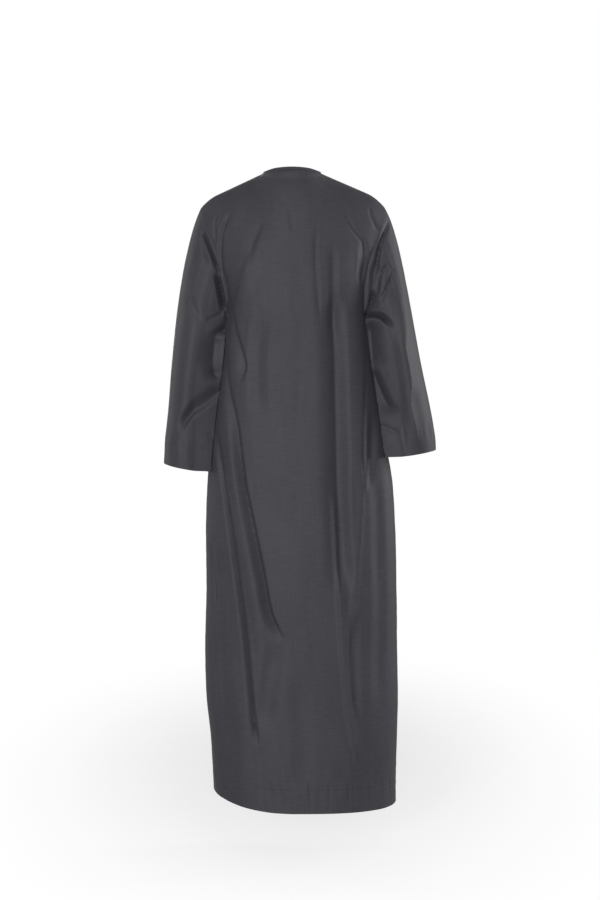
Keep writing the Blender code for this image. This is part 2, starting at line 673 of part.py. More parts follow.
add_cloth("back", back, back_normal, finish_of("back_cloth", CLOTH_COLOUR, CLOTH_ROUGHNESS))
add_cloth("front", front, front_normal, finish_of("front_cloth", CLOTH_COLOUR, CLOTH_ROUGHNESS))
for side in ("left", "right"):
    gores = []
    for half in ("back", "front"):
        name = "gore_%s_%s" % (side, half)
        gore, gore_normal = body_grid(name, GORE_COLUMNS)
        gores.append(gore)
        add_cloth(name, gore, gore_normal, finish_of(name + "_cloth", CLOTH_COLOUR, CLOTH_ROUGHNESS))
    sleeve, sleeve_normal = sleeve_grid(side, armhole_loop(side, back, front, *gores))
    sleeve_finish = finish_of("sleeve_cloth_" + side, CLOTH_COLOUR, CLOTH_ROUGHNESS)
    add_cloth("sleeve_" + side, sleeve, sleeve_normal, sleeve_finish, closed=True)

add_neck_band(back, front, finish_of("band_cloth", CLOTH_COLOUR, CLOTH_ROUGHNESS))
strip, strip_normal = add_placket(
    front, front_normal, finish_of("placket_cloth", CLOTH_COLOUR, CLOTH_ROUGHNESS)
)
for number, row in enumerate(BUTTON_ROWS, start=1):
    button_finish = finish_of("button_%d_finish" % number, BUTTON_COLOUR, BUTTON_ROUGHNESS)
    add_button("button_%d" % number, strip[row], strip_normal[row], button_finish)
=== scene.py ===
"""A long, collarless charcoal robe, seen as worn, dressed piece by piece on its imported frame."""

import math

import bmesh
import bpy
import numpy as np
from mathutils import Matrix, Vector


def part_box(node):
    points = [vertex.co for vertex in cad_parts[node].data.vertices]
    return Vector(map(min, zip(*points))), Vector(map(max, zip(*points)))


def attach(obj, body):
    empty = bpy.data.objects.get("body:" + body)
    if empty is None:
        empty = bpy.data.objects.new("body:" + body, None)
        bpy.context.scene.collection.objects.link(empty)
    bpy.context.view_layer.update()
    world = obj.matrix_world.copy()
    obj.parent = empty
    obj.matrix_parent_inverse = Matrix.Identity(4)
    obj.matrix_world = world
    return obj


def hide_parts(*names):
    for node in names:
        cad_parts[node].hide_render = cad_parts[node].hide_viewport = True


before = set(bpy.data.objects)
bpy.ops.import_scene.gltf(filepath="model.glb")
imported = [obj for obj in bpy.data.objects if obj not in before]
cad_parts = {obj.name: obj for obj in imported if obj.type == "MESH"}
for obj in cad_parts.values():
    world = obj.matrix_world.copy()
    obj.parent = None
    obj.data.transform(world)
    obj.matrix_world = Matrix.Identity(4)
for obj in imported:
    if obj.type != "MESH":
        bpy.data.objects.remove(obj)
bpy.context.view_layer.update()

# The studio. The robe is photographed from behind, a little above waist height, with a long
# lens. It hangs above a pale floor at the height at which its wearer stands.
CAMERA_PLACE = (-0.018, 5.0, -0.225)
CAMERA_TILT = math.radians(4.65)
CAMERA_LENS = 87.7
FLOOR_HEIGHT = -1.5685
FLOOR_REACH = 30.0
FLOOR_FINISH = {"Base Color": (0.84, 0.84, 0.85, 1.0), "Roughness": 0.9, "Specular IOR Level": 0.1}
# the painted shade round the robe: the oval where the floor turns matt, and how much it still glows at
# its middle
FLOOR_SHADE_OVAL = {"Location": (-0.03, -1.0, FLOOR_HEIGHT), "Scale": (0.95, 1.9, 1.0)}
SHADE_OVAL_GLOW = 0.5
SURROUND_LIGHT = 0.18


def placed(name, data):
    """A new object in the scene."""
    thing = bpy.data.objects.new(name, data)
    bpy.context.scene.collection.objects.link(thing)
    return thing


def mesh_of(name, form):
    """A mesh made from a form, which is freed."""
    mesh = bpy.data.meshes.new(name)
    form.to_mesh(mesh)
    form.free()
    return mesh


def set_inputs(node, values):
    for name, value in values.items():
        node.inputs[name].default_value = value


def shader_tree(name):
    """A new material, its nodes and links, and its main shader."""
    material = bpy.data.materials.new(name)
    material.use_nodes = True
    nodes, links = material.node_tree.nodes, material.node_tree.links
    return material, nodes, links, nodes["Principled BSDF"]


camera = placed("camera", bpy.data.cameras.new("camera"))
camera.data.lens = CAMERA_LENS
camera.location = CAMERA_PLACE
camera.rotation_euler = (math.radians(90) - CAMERA_TILT, 0.0, math.radians(180))
bpy.context.scene.camera = camera
bpy.context.scene.view_settings.view_transform = "Standard"


def seen_strength(nodes, links, target):
    """Full strength where the camera looks, and the surround's light for everything else."""
    seen = nodes.new("ShaderNodeLightPath")
    strength = nodes.new("ShaderNodeMapRange")
    set_inputs(strength, {"To Min": SURROUND_LIGHT})
    links.new(seen.outputs["Is Camera Ray"], strength.inputs["Value"])
    links.new(strength.outputs["Result"], target)


def studio_floor():
    """A matt pale sheet that goes to plain white further out; round the robe it is a touch greyer, a
    painted shade oval in which the matt sheet also takes the robe's real shadow.
    """
    sheet = bmesh.new()
    bmesh.ops.create_circle(sheet, cap_ends=True, segments=64, radius=FLOOR_REACH)
    floor = placed("studio_floor", mesh_of("studio_floor", sheet))
    floor.location = (0.0, 0.0, FLOOR_HEIGHT)
    material, nodes, links, matt = shader_tree("studio_floor")
    set_inputs(matt, FLOOR_FINISH)
    place = nodes.new("ShaderNodeNewGeometry")
    oval = nodes.new("ShaderNodeMapping")
    oval.vector_type = "TEXTURE"
    set_inputs(oval, FLOOR_SHADE_OVAL)
    links.new(place.outputs["Position"], oval.inputs["Vector"])
    away = nodes.new("ShaderNodeVectorMath")
    away.operation = "LENGTH"
    links.new(oval.outputs["Vector"], away.inputs[0])
    # painted shade round the robe: half glow and half matt floor at the oval's middle, all glow outside
    # it; the matt part also takes the robe's real shadow
    fade = nodes.new("ShaderNodeMapRange")
    fade.interpolation_type = "SMOOTHSTEP"
    set_inputs(fade, {"To Min": SHADE_OVAL_GLOW})
    links.new(away.outputs["Value"], fade.inputs["Value"])
    glow = nodes.new("ShaderNodeEmission")
    seen_strength(nodes, links, glow.inputs["Strength"])
    blend = nodes.new("ShaderNodeMixShader")
    links.new(fade.outputs["Result"], blend.inputs["Fac"])
    links.new(matt.outputs["BSDF"], blend.inputs[1])
    links.new(glow.outputs["Emission"], blend.inputs[2])
    links.new(blend.outputs["Shader"], nodes["Material Output"].inputs["Surface"])
    floor.data.materials.append(material)


def studio_surround():
    """Plain white all round."""
    world = bpy.data.worlds.new("studio_white")
    world.use_nodes = True
    nodes, links = world.node_tree.nodes, world.node_tree.links
    nodes["Background"].inputs["Color"].default_value = (1.0, 1.0, 1.0, 1.0)
    seen_strength(nodes, links, nodes["Background"].inputs["Strength"])
    bpy.context.scene.world = world


def soft_light(name, place, aim, size, power):
    lamp = bpy.data.lights.new(name, "AREA")
    lamp.shape = "RECTANGLE"
    lamp.size, lamp.size_y = size
    lamp.energy = power
    light = placed(name, lamp)
    light.location = place
    light.rotation_euler = (Vector(aim) - Vector(place)).to_track_quat("-Z", "Y").to_euler()


studio_floor()
studio_surround()
soft_light("key_light", (1.2, 4.5, -0.2), (0.0, 0.0, -1.1), (0.7, 1.1), 100.0)
soft_light("fill_light", (-0.7, 3.6, 2.4), (0.0, 0.0, -0.3), (1.6, 1.6), 28.0)
soft_light("side_light", (-3.0, -0.9, 0.1), (-0.2, 0.0, -0.4), (0.5, 1.6), 54.0)
soft_light("left_rim_light", (3.0, -1.7, 0.3), (0.1, 0.0, -0.7), (0.6, 2.2), 26.0)
soft_light("front_light", (0.8, -4.0, 0.4), (0.0, 0.0, -0.6), (1.6, 2.0), 42.0)

# The back panel, which the photograph shows whole. It is one length of plain-woven suiting from
# the shoulder seams to the hem, and falls from the shoulder blades in long soft folds.
CLOTH = 0.0009
TURNED_CLOTH = 0.0007
SEAM_GAP = 0.00004
NECK_HALF_WIDTH = 0.066
NECK_BACK_REACH = 0.060
NECK_FRONT_REACH = 0.076
NECK_SIDE_HEIGHT = -0.003
NECK_BACK_HEIGHT = 0.004
NECK_FRONT_HEIGHT = -0.052
NECK_FRONT_POWER = 1.6
NECK_CORNERS_BACK = (9 / 26, 17 / 26)
SHOULDER_SEAM_Y = -0.004
SHOULDER_SLOPE_LEFT = 0.465
SHOULDER_SLOPE_RIGHT = 0.430
SHOULDER_ROUND_FROM = 0.170
SHOULDER_ROUND = 9.0
SHOULDER_TIP_LEFT = 0.2075
SHOULDER_TIP_RIGHT = -0.2115
UNDERARM = -0.315
HEM = -1.4445
HEM_LIFT = 0.030
HEM_LIFT_FROM = -0.020
HEM_LIFT_SPAN = 0.205
HEM_LIFT_POWER = 2.5
HEM_LIFT_STARTS = -1.180
HEM_LIFT_MOST = 1.2
HEM_DEPTH = 0.052
BACK_REACH = 0.096
FRONT_REACH = 0.088
NECK_REACH_CUT = 0.052
SHOULDER_FALL = 0.22
NECK_FALL = 0.026
ARMHOLE_REACH_CUT = 0.036
ARMHOLE_FALL = 0.018
ARMHOLE_BULGE = 0.030
ARMHOLE_WIDTH = 2.4 / 26
TURN_HEIGHT = 0.105
NECK_EASING = 1.41 / 26
EASING_STARTS = (0.0, 0.14)
EASING_ENDS = (1.0, 0.6)
LEAST_EASING = 1e-4
UPPER_ROWS = 74
PLAIN_ROWS = 194
GROOVE_ROWS = 15
GROOVE_REACH = 0.007
HEM_ROWS = 8
BACK_COLUMNS = 164
PANEL_RUN = 0.33
RING_POINTS = 500
RING_SPARE = 0.3
RISE_ROW = 6
SEAM_FEEL = 0.004
FOLD_FADE = 0.085
FOLD_FADE_SHARES = (0.10, 0.28)
FOLD_FACING = 1.6
FOLD_PUSH = (0.4, 1.0, 1.0)
SEAM_ROLL = 0.0004
SEAM_ROLL_WIDTH = 0.0030
CLOTH_FINISH = {
    "Roughness": 0.62, "Specular IOR Level": 0.30,
    "Sheen Weight": 0.10, "Sheen Roughness": 0.35, "Sheen Tint": (0.95, 0.98, 0.94, 1.0),
}
CLOTH_TONES = ((0.30, (0.0545, 0.0528, 0.0630)), (0.70, (0.0805, 0.0780, 0.0925)))
MM_IN_M = 1000
NEAR_SEAM = (0.0, 0.0011, 0.0024, 0.0040, 0.0060)
# height, then spacing across and down
HANG_WAVERS = ((0.0008, 0.060, 0.34), (0.0005, 0.026, 0.17), (0.00022, 0.012, 0.07))
# height and width; height and spacing; height, then spacing across and down
HEM_GROOVE = (0.0004, 0.0016)
HEM_PUCKER = (0.0016, 0.0075)
HEM_WAVE = (0.0009, 0.030, 0.08)
# where small folds fade away: at a seam, at a seam of the hem, below a shoulder
STILL = (0.03, 0.02, 0.02)
# height, spacing down, reach from the seam
SEAM_RIPPLE = (0.0004, 0.011, 0.012)

# height, left edge, right edge, back depth and front depth in millimetres, and squareness
BODY_SECTIONS = np.array((
    (-280, 149, -164, 121.5, -117, 2.50),
    (-315, 150, -165.5, 121, -117, 2.50),
    (-400, 156, -175, 118, -118, 2.50),
    (-500, 167.5, -191.5, 116, -119, 2.45),
    (-600, 184, -211, 116.5, -120, 2.40),
    (-700, 193.5, -229, 119, -121.5, 2.35),
    (-800, 197.5, -236, 122, -123, 2.30),
    (-950, 197, -240, 127, -125, 2.30),
    (-1100, 200.5, -242, 131, -128, 2.30),
    (-1200, 197.5, -244, 134, -130, 2.30),
    (-1300, 188.5, -242, 137, -132, 2.30),
    (-1380, 184.5, -240, 139, -133.5, 2.30),
    (-1460, 181, -240, 140, -134.5, 2.30),
)) / np.array(5 * (MM_IN_M,) + (1,))
# height, then x of the seam, in millimetres: back left, back right, front left, front right
GORE_SEAMS = np.array((
    (-280, 146, -161, 146, -161),
    (-315, 146.5, -162, 146.5, -162),
    (-400, 151, -169, 150, -169),
    (-500, 162, -179, 157, -180),
    (-600, 174, -179, 160, -182),
    (-700, 155, -166, 150, -174),
    (-840, 132, -152, 134, -162),
    (-950, 117, -141, 123, -156),
    (-1060, 103, -133, 113, -151),
    (-1210, 89, -130, 100, -146),
    (-1330, 70, -136, 92, -143),
    (-1460, 63, -142, 88, -142),
)) / MM_IN_M
# name, depth (minus for a hollow), then width and sharpness (0 soft, 1 creased) on the side
# towards the robe's left and on the side towards its right, and the path down it as (x, z);
# all the lengths are in millimetres
BACK_FOLDS = (
    ("long roll, right", -19, 45, 1, 34, 0, ((-91, -255), (-95, -388), (-98, -521), (-101, -678),
     (-106, -813), (-113, -960))),
    ("blade hollow, right", -6, 18, 0.6, 18, 0, ((-91, -150), (-91, -233), (-92, -321), (-95, -400))),
    ("blade drag, right of middle", -3.4, 14, 1, 7, 0.3, ((-58, -108), (-54, -157), (-53, -195),
     (-55, -233), (-60, -300), (-62, -350))),
    ("side crease, right", 4, 40, 0, 10, 1, ((-144, -205), (-152, -250), (-158, -320), (-159, -432),
     (-157, -566), (-155, -650), (-156, -720))),
    ("lower side crease, right", 3.4, 20, 0.2, 11, 1, ((-156, -640), (-160, -700), (-159, -760),
     (-153, -850), (-147, -930), (-141, -1000), (-139, -1040))),
    ("outer crease, right", 5.3, 8, 0.5, 12, 1, ((-169, -500), (-167, -600), (-168, -678),
     (-163, -740))),
    ("hip crease, right", 6, 12, 0.6, 24, 0.7, ((-90, -690), (-96, -780), (-101, -880), (-107, -960),
     (-112, -1050), (-119, -1130), (-127, -1210), (-140, -1290), (-154, -1340))),
    ("soft hollow, right hip", -4, 18, 0, 18, 0, ((-144, -960), (-141, -1072), (-142, -1163),
     (-149, -1264))),
    ("outer hang, right", -6.2, 20, 0.2, 22, 0, ((-188, -640), (-193, -779), (-195, -870), (-198, -960),
     (-196, -1096), (-194, -1240))),
    ("soft hollow, left of middle", -6.7, 26, 0, 28, 0, ((58, -290), (73, -365), (78, -419), (78, -499),
     (75, -560))),
    ("blade crease, left", 5.8, 15, 1, 36, 0, ((58, -108), (74, -150), (94, -195), (110, -240),
     (124, -290), (136, -345), (142, -385))),
    ("blade hollow, left", -4, 9, 0.5, 13, 0.3, ((68, -108), (75, -129), (84, -155), (91, -182),
     (96, -225))),
    ("armpit crease, left", -13.5, 32, 0.6, 8, 1, ((138, -290), (133, -319), (127, -357), (116, -392),
     (106, -430), (109, -452), (123, -482))),
    ("armpit hollow, left", -12, 14, 0.3, 12, 0.3, ((158, -222), (151, -262), (145, -290),
     (142, -312))),
    ("long drag, left", -15, 24, 0.5, 9, 1, ((160, -330), (149, -432), (145, -477), (125, -566),
     (116, -633), (107, -701), (98, -746), (79, -836), (64, -908), (52, -976), (37, -1017),
     (14, -1056))),
    ("end of the drag, left", -6.7, 30, 0, 30, 0.2, ((30, -1030), (45, -1122), (54, -1186),
     (60, -1270))),
    ("hip roll, left", 3.2, 22, 0, 22, 0, ((150, -560), (134, -660), (114, -800), (83, -960),
     (66, -1120))),
    ("seam fold, left", -10, 12, 0.5, 11, 1, ((176, -560), (155, -690), (132, -840), (117, -950),
     (103, -1060), (89, -1210), (76, -1300))),
    ("seam fold, right", -6.7, 14, 0.3, 14, 0.3, ((-185, -520), (-180, -640), (-172, -720))),
    ("armhole drag, right", -4.6, 10, 0.5, 8, 1, ((-114, -70), (-124, -104), (-140, -131), (-153, -148),
     (-162, -162), (-169, -184), (-172, -210), (-171, -243))),
    ("armhole crease, right", -7.5, 18, 0.3, 8, 0.5, ((-160, -150), (-164, -190), (-161, -228),
     (-154, -262))),
    ("shoulder hook, right", -3.6, 7, 0.4, 7, 0.8, ((-173, -74), (-178, -99), (-187, -121),
     (-198, -138))),
    ("armhole drag, left", -9.5, 8, 0.6, 8, 0.8, ((128, -80), (146, -109), (155, -131), (159, -157),
     (161, -188), (157, -224), (152, -260))),
    ("shoulder crease, left", -4.5, 6, 0.5, 7, 0.5, ((166, -84), (174, -121), (170, -160))),
    ("outer hang, left", -6.7, 24, 0, 24, 0, ((165, -840), (160, -1000), (155, -1180), (146, -1330))),
    ("edge crinkle, left", -7.5, 10, 0.6, 10, 0.2, ((186, -820), (181, -880), (176, -950),
     (174, -1010))),
    ("lower edge crinkle, left", -7, 9, 0.6, 10, 0.2, ((190, -1040), (184, -1110), (178, -1170),
     (176, -1230))),
    ("hem hang, left", 4, 28, 0, 28, 0, ((110, -1160), (112, -1300), (112, -1430))),
    ("hem hang, middle", -4.2, 32, 0, 32, 0, ((-10, -1120), (-22, -1260), (-30, -1400))),
    ("facing press, left", -1.3, 5, 0.8, 10, 0.3, ((140, -104), (100, -109), (50, -119), (6, -131))),
    ("facing press, right", -1.3, 5, 0.8, 10, 0.3, ((-16, -124), (-60, -110), (-110, -104),
     (-160, -98))),
    ("neck middle crease", -2, 7, 0.6, 9, 0.4, ((5, -70), (4, -100), (0, -125), (-3, -142))),
)
FRONT_FOLDS = (
    ("chest drag, left", -6.5, 26, 0.5, 22, 0.2, ((85, -200), (102, -330), (110, -480), (100, -640))),
    ("chest drag, right", -7, 24, 0.3, 26, 0.6, ((-95, -190), (-112, -320), (-122, -470),
     (-112, -660))),
    ("armpit crease, left", -7, 22, 0.5, 9, 1, ((142, -290), (130, -350), (112, -410), (104, -460))),
    ("armpit crease, right", -7, 9, 1, 22, 0.5, ((-156, -290), (-142, -345), (-126, -400),
     (-116, -452))),
    ("skirt ridge, left", 8, 30, 0.1, 16, 0.8, ((60, -560), (68, -760), (72, -1000), (66, -1240),
     (60, -1400))),
    ("skirt ridge, right", 8, 16, 0.8, 32, 0.1, ((-72, -520), (-84, -760), (-92, -1000), (-98, -1220),
     (-104, -1400))),
    ("skirt hollow, middle", -7, 32, 0.2, 36, 0.3, ((-12, -640), (-16, -860), (-24, -1100),
     (-30, -1360))),
    ("outer hollow, left", -7, 26, 0.2, 26, 0.4, ((138, -620), (132, -840), (126, -1060),
     (120, -1280))),
    ("outer hollow, right", -7, 26, 0.4, 26, 0.2, ((-158, -640), (-166, -860), (-168, -1080),
     (-164, -1300))),
)


def smooth_step(low, high, value):
    t = np.clip((value - low) / (high - low), 0.0, 1.0)
    return t * t * (3.0 - 2.0 * t)


def unit(vectors):
    return vectors / np.linalg.norm(vectors, axis=-1, keepdims=True)


def run_lengths(steps):
    """How far along a line each of its points lies, from the lengths of its steps."""
    return np.concatenate(([0.0], np.cumsum(steps)))


def points_at(wanted, places, columns):
    """Points of a line at the wanted places along it, from its coordinates at known places."""
    return np.stack([np.interp(wanted, places, column) for column in columns], axis=-1)


def bezier(t, first, second, third, last):
    start = (1 - t) ** 3 * first + 3 * t * (1 - t) ** 2 * second
    return start + 3 * t**2 * (1 - t) * third + t**3 * last


def hermite(t, first, last, first_slope, last_slope, span=1.0):
    return (
        (2 * t**3 - 3 * t**2 + 1) * first
        + (t**3 - 2 * t**2 + t) * span * first_slope
        + (3 * t**2 - 2 * t**3) * last
        + (t**3 - t**2) * span * last_slope
    )


def smooth_through(table, at):
    """Each column of a table of heights, at the heights given, on a smooth curve."""
    rows = table[::-1]
    heights = rows[:, 0]
    at = np.atleast_1d(np.asarray(at, float))
    k = np.clip(np.searchsorted(heights, at) - 1, 0, len(heights) - 2)
    span = heights[k + 1] - heights[k]
    t = np.clip((at - heights[k]) / span, 0.0, 1.0)
    found = []
    for values in rows[:, 1:].T:
        slopes = np.gradient(values, heights)
        found.append(hermite(t, values[k], values[k + 1], slopes[k], slopes[k + 1], span))
    return found


def signed_power(value, power):
    return np.sign(value) * np.abs(value) ** power


def section_point(section, angle):
    left, right, back, front, square = section
    x = (left + right) / 2 + (left - right) / 2 * signed_power(np.cos(angle), 2 / square)
    depth = np.where(np.sin(angle) >= 0, back, -front)
    return x, depth * signed_power(np.sin(angle), 2 / square)


def seam_angle(section, x, front):
    left, right, _back, _front, square = section
    ratio = np.clip((x - (left + right) / 2) / ((left - right) / 2), -1.0, 1.0)
    angle = np.arccos(signed_power(ratio, square / 2))
    return 2 * np.pi - angle if front else angle


def panel_angles(height, piece):
    """A section and the two seam angles of a piece there, in the order that its columns run."""
    section = [column[0] for column in smooth_through(BODY_SECTIONS, height)]
    back_left, back_right, front_left, front_right = (
        seam_angle(section, column[0], front)
        for column, front in zip(smooth_through(GORE_SEAMS, height), (False, False, True, True))
    )
    return section, {
        "back": (back_left, back_right),
        "gore_right_back": (back_right, np.pi),
        "gore_right_front": (np.pi, front_right),
        "front": (front_right, front_left),
        "gore_left_front": (front_left - 2 * np.pi, 0.0),
        "gore_left_back": (0.0, back_left),
    }[piece]


def column_shares(columns, run):
    """Shares of the way from seam to seam, closer together at the two seams."""
    near = np.array(NEAR_SEAM) / run
    middle = np.linspace(near[-1], 1 - near[-1], columns - 2 * len(near) + 2)[1:-1]
    return np.concatenate([near, middle, 1 - near[::-1]])


def lower_rows(piece, shares):
    """Rings of a piece from the underarm to the hem, then two points either side of each seam."""
    rows = []
    line = HEM + HEM_DEPTH
    heights = [
        np.linspace(UNDERARM, line + GROOVE_REACH, PLAIN_ROWS, endpoint=False),
        np.linspace(line + GROOVE_REACH, line - GROOVE_REACH, GROOVE_ROWS),
        np.linspace(line - GROOVE_REACH, HEM, HEM_ROWS + 1)[1:],
    ]
    for height in np.concatenate(heights):
        section, (start, end) = panel_angles(height, piece)
        angles = np.linspace(start - RING_SPARE, end + RING_SPARE, RING_POINTS)
        x, y = section_point(section, angles)
        lengths = run_lengths(np.hypot(np.diff(x), np.diff(y)))
        first, last = np.interp((start, end), angles, lengths)
        feelers = (first - SEAM_FEEL, first + SEAM_FEEL, last - SEAM_FEEL, last + SEAM_FEEL)
        places = first + SEAM_GAP / 2 + shares * (last - first - SEAM_GAP)
        places = np.concatenate([places, feelers])
        row = points_at(places, lengths, (x, y, 0 * x + height))
        aside = np.clip((row[:, 0] - HEM_LIFT_FROM) / HEM_LIFT_SPAN, 0.0, HEM_LIFT_MOST)
        row[:, 2] += HEM_LIFT * aside**HEM_LIFT_POWER * smooth_step(HEM_LIFT_STARTS, HEM, height)
        rows.append(row)
    return np.array(rows)


def shoulder_height(x):
    out = np.abs(x)
    slope = np.where(x > 0, SHOULDER_SLOPE_LEFT, SHOULDER_SLOPE_RIGHT)
    rounding = SHOULDER_ROUND * np.maximum(out - SHOULDER_ROUND_FROM, 0.0) ** 2
    return NECK_SIDE_HEIGHT - slope * (out - NECK_HALF_WIDTH) - rounding


def top_edge(shares, corners, front):
    """Shoulder seam, neck edge and shoulder seam of a panel, in the order of its columns."""
    shares = 1 - shares[::-1] if front else shares
    first, second = corners
    on_neck = np.clip((shares - first) / (second - first), 0.0, 1.0)
    left_x = SHOULDER_TIP_LEFT + (NECK_HALF_WIDTH - SHOULDER_TIP_LEFT) * shares / first
    x = np.where(shares < first, left_x, NECK_HALF_WIDTH * np.cos(np.pi * on_neck))
    right_run = (SHOULDER_TIP_RIGHT + NECK_HALF_WIDTH) * (shares - second) / (1 - second)
    x = np.where(shares > second, right_run - NECK_HALF_WIDTH, x)
    away = np.sin(np.pi * on_neck)
    if front:
        y = SHOULDER_SEAM_Y - NECK_FRONT_REACH * away - SEAM_GAP / 2
        neck = NECK_SIDE_HEIGHT + (NECK_FRONT_HEIGHT - NECK_SIDE_HEIGHT) * away**NECK_FRONT_POWER
    else:
        y = SHOULDER_SEAM_Y + NECK_BACK_REACH * away + SEAM_GAP / 2
        neck = NECK_SIDE_HEIGHT + (NECK_BACK_HEIGHT - NECK_SIDE_HEIGHT) * away**2
    z = np.where((shares > first) & (shares < second), neck, shoulder_height(x))
    edge = np.stack([x, y, z], axis=1)
    return edge[::-1] if front else edge


def upper_rows(lower, shares, corners, front):
    """Rows of a panel from its top edge to the underarm, each column a curve over the shoulder."""
    edge = top_edge(shares, corners, front)
    low = lower[0, :-4]
    rise = unit(low - lower[RISE_ROW, :-4])
    side = -1.0 if front else 1.0
    near_armhole = np.exp(-((np.minimum(shares, 1 - shares) / ARMHOLE_WIDTH) ** 2))
    deep = NECK_FRONT_REACH if front else NECK_BACK_REACH
    near_neck = np.clip(side * (edge[:, 1] - SHOULDER_SEAM_Y) / deep, 0.0, 1.0)
    reach = (FRONT_REACH if front else BACK_REACH) - NECK_REACH_CUT * near_neck
    reach = reach - ARMHOLE_REACH_CUT * near_armhole
    fall = SHOULDER_FALL * reach + NECK_FALL * near_neck + ARMHOLE_FALL * near_armhole
    out = edge + np.stack([0 * reach, side * reach, -fall], axis=1)
    turn = low + TURN_HEIGHT * rise
    turn[:, 1] += side * ARMHOLE_BULGE * near_armhole
    widths = np.gradient(shares)
    rows = []
    for t in np.linspace(0.0, 1.0, UPPER_ROWS + 1)[:-1]:
        row = bezier(t, edge, out, turn, low)
        if t > 0:
            ease = np.minimum(NECK_EASING, np.minimum(shares, 1 - shares) / 2.5)
            ease = ease * smooth_step(*EASING_STARTS, t) * smooth_step(*EASING_ENDS, t)
            ease = np.maximum(ease, LEAST_EASING)[:, None]
            weight = np.exp(-(((shares[:, None] - shares[None]) / ease) ** 2) / 2) * widths[None]
            row = (weight / weight.sum(axis=1, keepdims=True)) @ row
        feelers = (2 * row[0] - row[3], row[3], row[-4], 2 * row[-1] - row[-4])
        rows.append(np.vstack([row, *feelers]))
    return np.array(rows)


def facing(grid, closed):
    """Outward unit normals. An open grid's last four columns lie either side of its two seams."""
    down = np.gradient(grid, axis=0)
    if closed:
        along = np.roll(grid, -1, axis=1) - np.roll(grid, 1, axis=1)
    else:
        along = np.gradient(grid, axis=1)
        along[:, 0] = along[:, -4] = along[:, -3] = grid[:, -3] - grid[:, -4]
        along[:, -5] = along[:, -2] = along[:, -1] = grid[:, -1] - grid[:, -2]
        down[:, -4] = down[:, -3] = down[:, 0]
        down[:, -2] = down[:, -1] = down[:, -5]
    return unit(np.cross(down, along))


def fold_path(points, steps=5):
    """A fold's few points joined by a smooth curve, and taken from millimetres to metres."""
    points = np.array(points, float) / MM_IN_M
    slopes = np.gradient(points, axis=0)
    at = np.linspace(0, len(points) - 1, steps * (len(points) - 1) + 1)
    k = np.clip(at.astype(int), 0, len(points) - 2)
    return hermite((at - k)[:, None], points[k], points[k + 1], slopes[k], slopes[k + 1])


def fold_depth(grid, folds):
    """How far the folds push each point out, by its distance from each path seen face on."""
    flat = grid[..., (0, 2)]
    total = np.zeros(grid.shape[:2])
    for _name, depth, left_width, left_sharp, right_width, right_sharp, points in folds:
        path = fold_path(points)
        length = np.linalg.norm(np.diff(path, axis=0), axis=1).sum()
        fade = np.clip(FOLD_FADE / length, *FOLD_FADE_SHARES)
        left_width, right_width = left_width / MM_IN_M, right_width / MM_IN_M
        reach = max(left_width, right_width)
        low, high = path.min(axis=0) - reach, path.max(axis=0) + reach
        close = ((flat > low) & (flat < high)).all(axis=-1)
        spots = flat[close]
        nearest = np.full(len(spots), np.inf)
        place = np.zeros(len(spots))
        side = np.zeros(len(spots))
        for k in range(len(path) - 1):
            run = path[k + 1] - path[k]
            gap = spots - path[k]
            t = np.clip((gap @ run) / (run @ run), 0.0, 1.0)
            away = np.linalg.norm(gap - t[:, None] * run, axis=1)
            closer = away < nearest
            nearest = np.where(closer, away, nearest)
            place = np.where(closer, (k + t) / (len(path) - 1), place)
            side = np.where(closer, run[0] * gap[:, 1] - run[1] * gap[:, 0], side)
        share = np.clip(nearest / np.where(side > 0, left_width, right_width), 0.0, 1.0)
        sharp = np.where(side > 0, left_sharp, right_sharp)
        shape = (1 - sharp) * (1 - share**2) ** 2 + sharp * (1 - share) ** 2
        ends = smooth_step(0.0, fade, place) * smooth_step(0.0, fade, 1 - place)
        total[close] += depth / MM_IN_M * shape * ends
    return total


def wander(across, down, seed):
    """Smooth random rise and fall, from -1 to 1, over a lattice one unit apart."""
    across = across - across.min() + 0.37
    down = down - down.min() + 0.61
    i, j = across.astype(int), down.astype(int)
    lattice = np.random.default_rng(seed).uniform(-1, 1, (i.max() + 2, j.max() + 2))
    s, t = across - i, down - j
    s, t = s * s * (3 - 2 * s), t * t * (3 - 2 * t)
    return (
        lattice[i, j] * (1 - s) * (1 - t)
        + lattice[i + 1, j] * s * (1 - t)
        + lattice[i, j + 1] * (1 - s) * t
        + lattice[i + 1, j + 1] * s * t
    )


def hang_waver(across, down, seed):
    """The slight unevenness of hanging cloth, long down the grain and short across it."""
    return sum(
        height * wander(across / wide, down / tall, seed + k)
        for k, (height, wide, tall) in enumerate(HANG_WAVERS)
    )


def hem_pucker(across, above_edge, depth, seed):
    """Small upright puckers above a sewn hem, and the shallow groove of its stitch line."""
    groove = -HEM_GROOVE[0] * np.exp(-(((above_edge - depth) / HEM_GROOVE[1]) ** 2))
    reach = smooth_step(depth + 0.030, depth + 0.002, above_edge) * smooth_step(0, depth, above_edge)
    ripple = HEM_PUCKER[0] * reach * wander(across / HEM_PUCKER[1], 0 * across, seed)
    height, wide, tall = HEM_WAVE
    near_edge = smooth_step(depth * 1.6, 0.0, above_edge)
    return groove + ripple + height * near_edge * wander(across / wide, above_edge / tall, seed + 3)


def seam_roll(run_from_seam):
    """The cloth turns in over the last few millimetres before a seam."""
    return -SEAM_ROLL * np.exp(-((run_from_seam / SEAM_ROLL_WIDTH) ** 2))


def cloth_places(grid, closed=False):
    """Place of each point on its own cloth, in metres: across from the middle, and down."""
    steps = np.linalg.norm(np.diff(grid, axis=1), axis=2)
    across = np.stack([run_lengths(row) for row in steps])
    fall = np.linalg.norm(np.diff(grid, axis=0), axis=2)
    if not closed:
        across = across - across[:, -1:] / 2
        fall = np.repeat(fall[:, fall.shape[1] // 2, None], fall.shape[1], axis=1)
    return across, np.stack([run_lengths(column) for column in fall.T], axis=1)


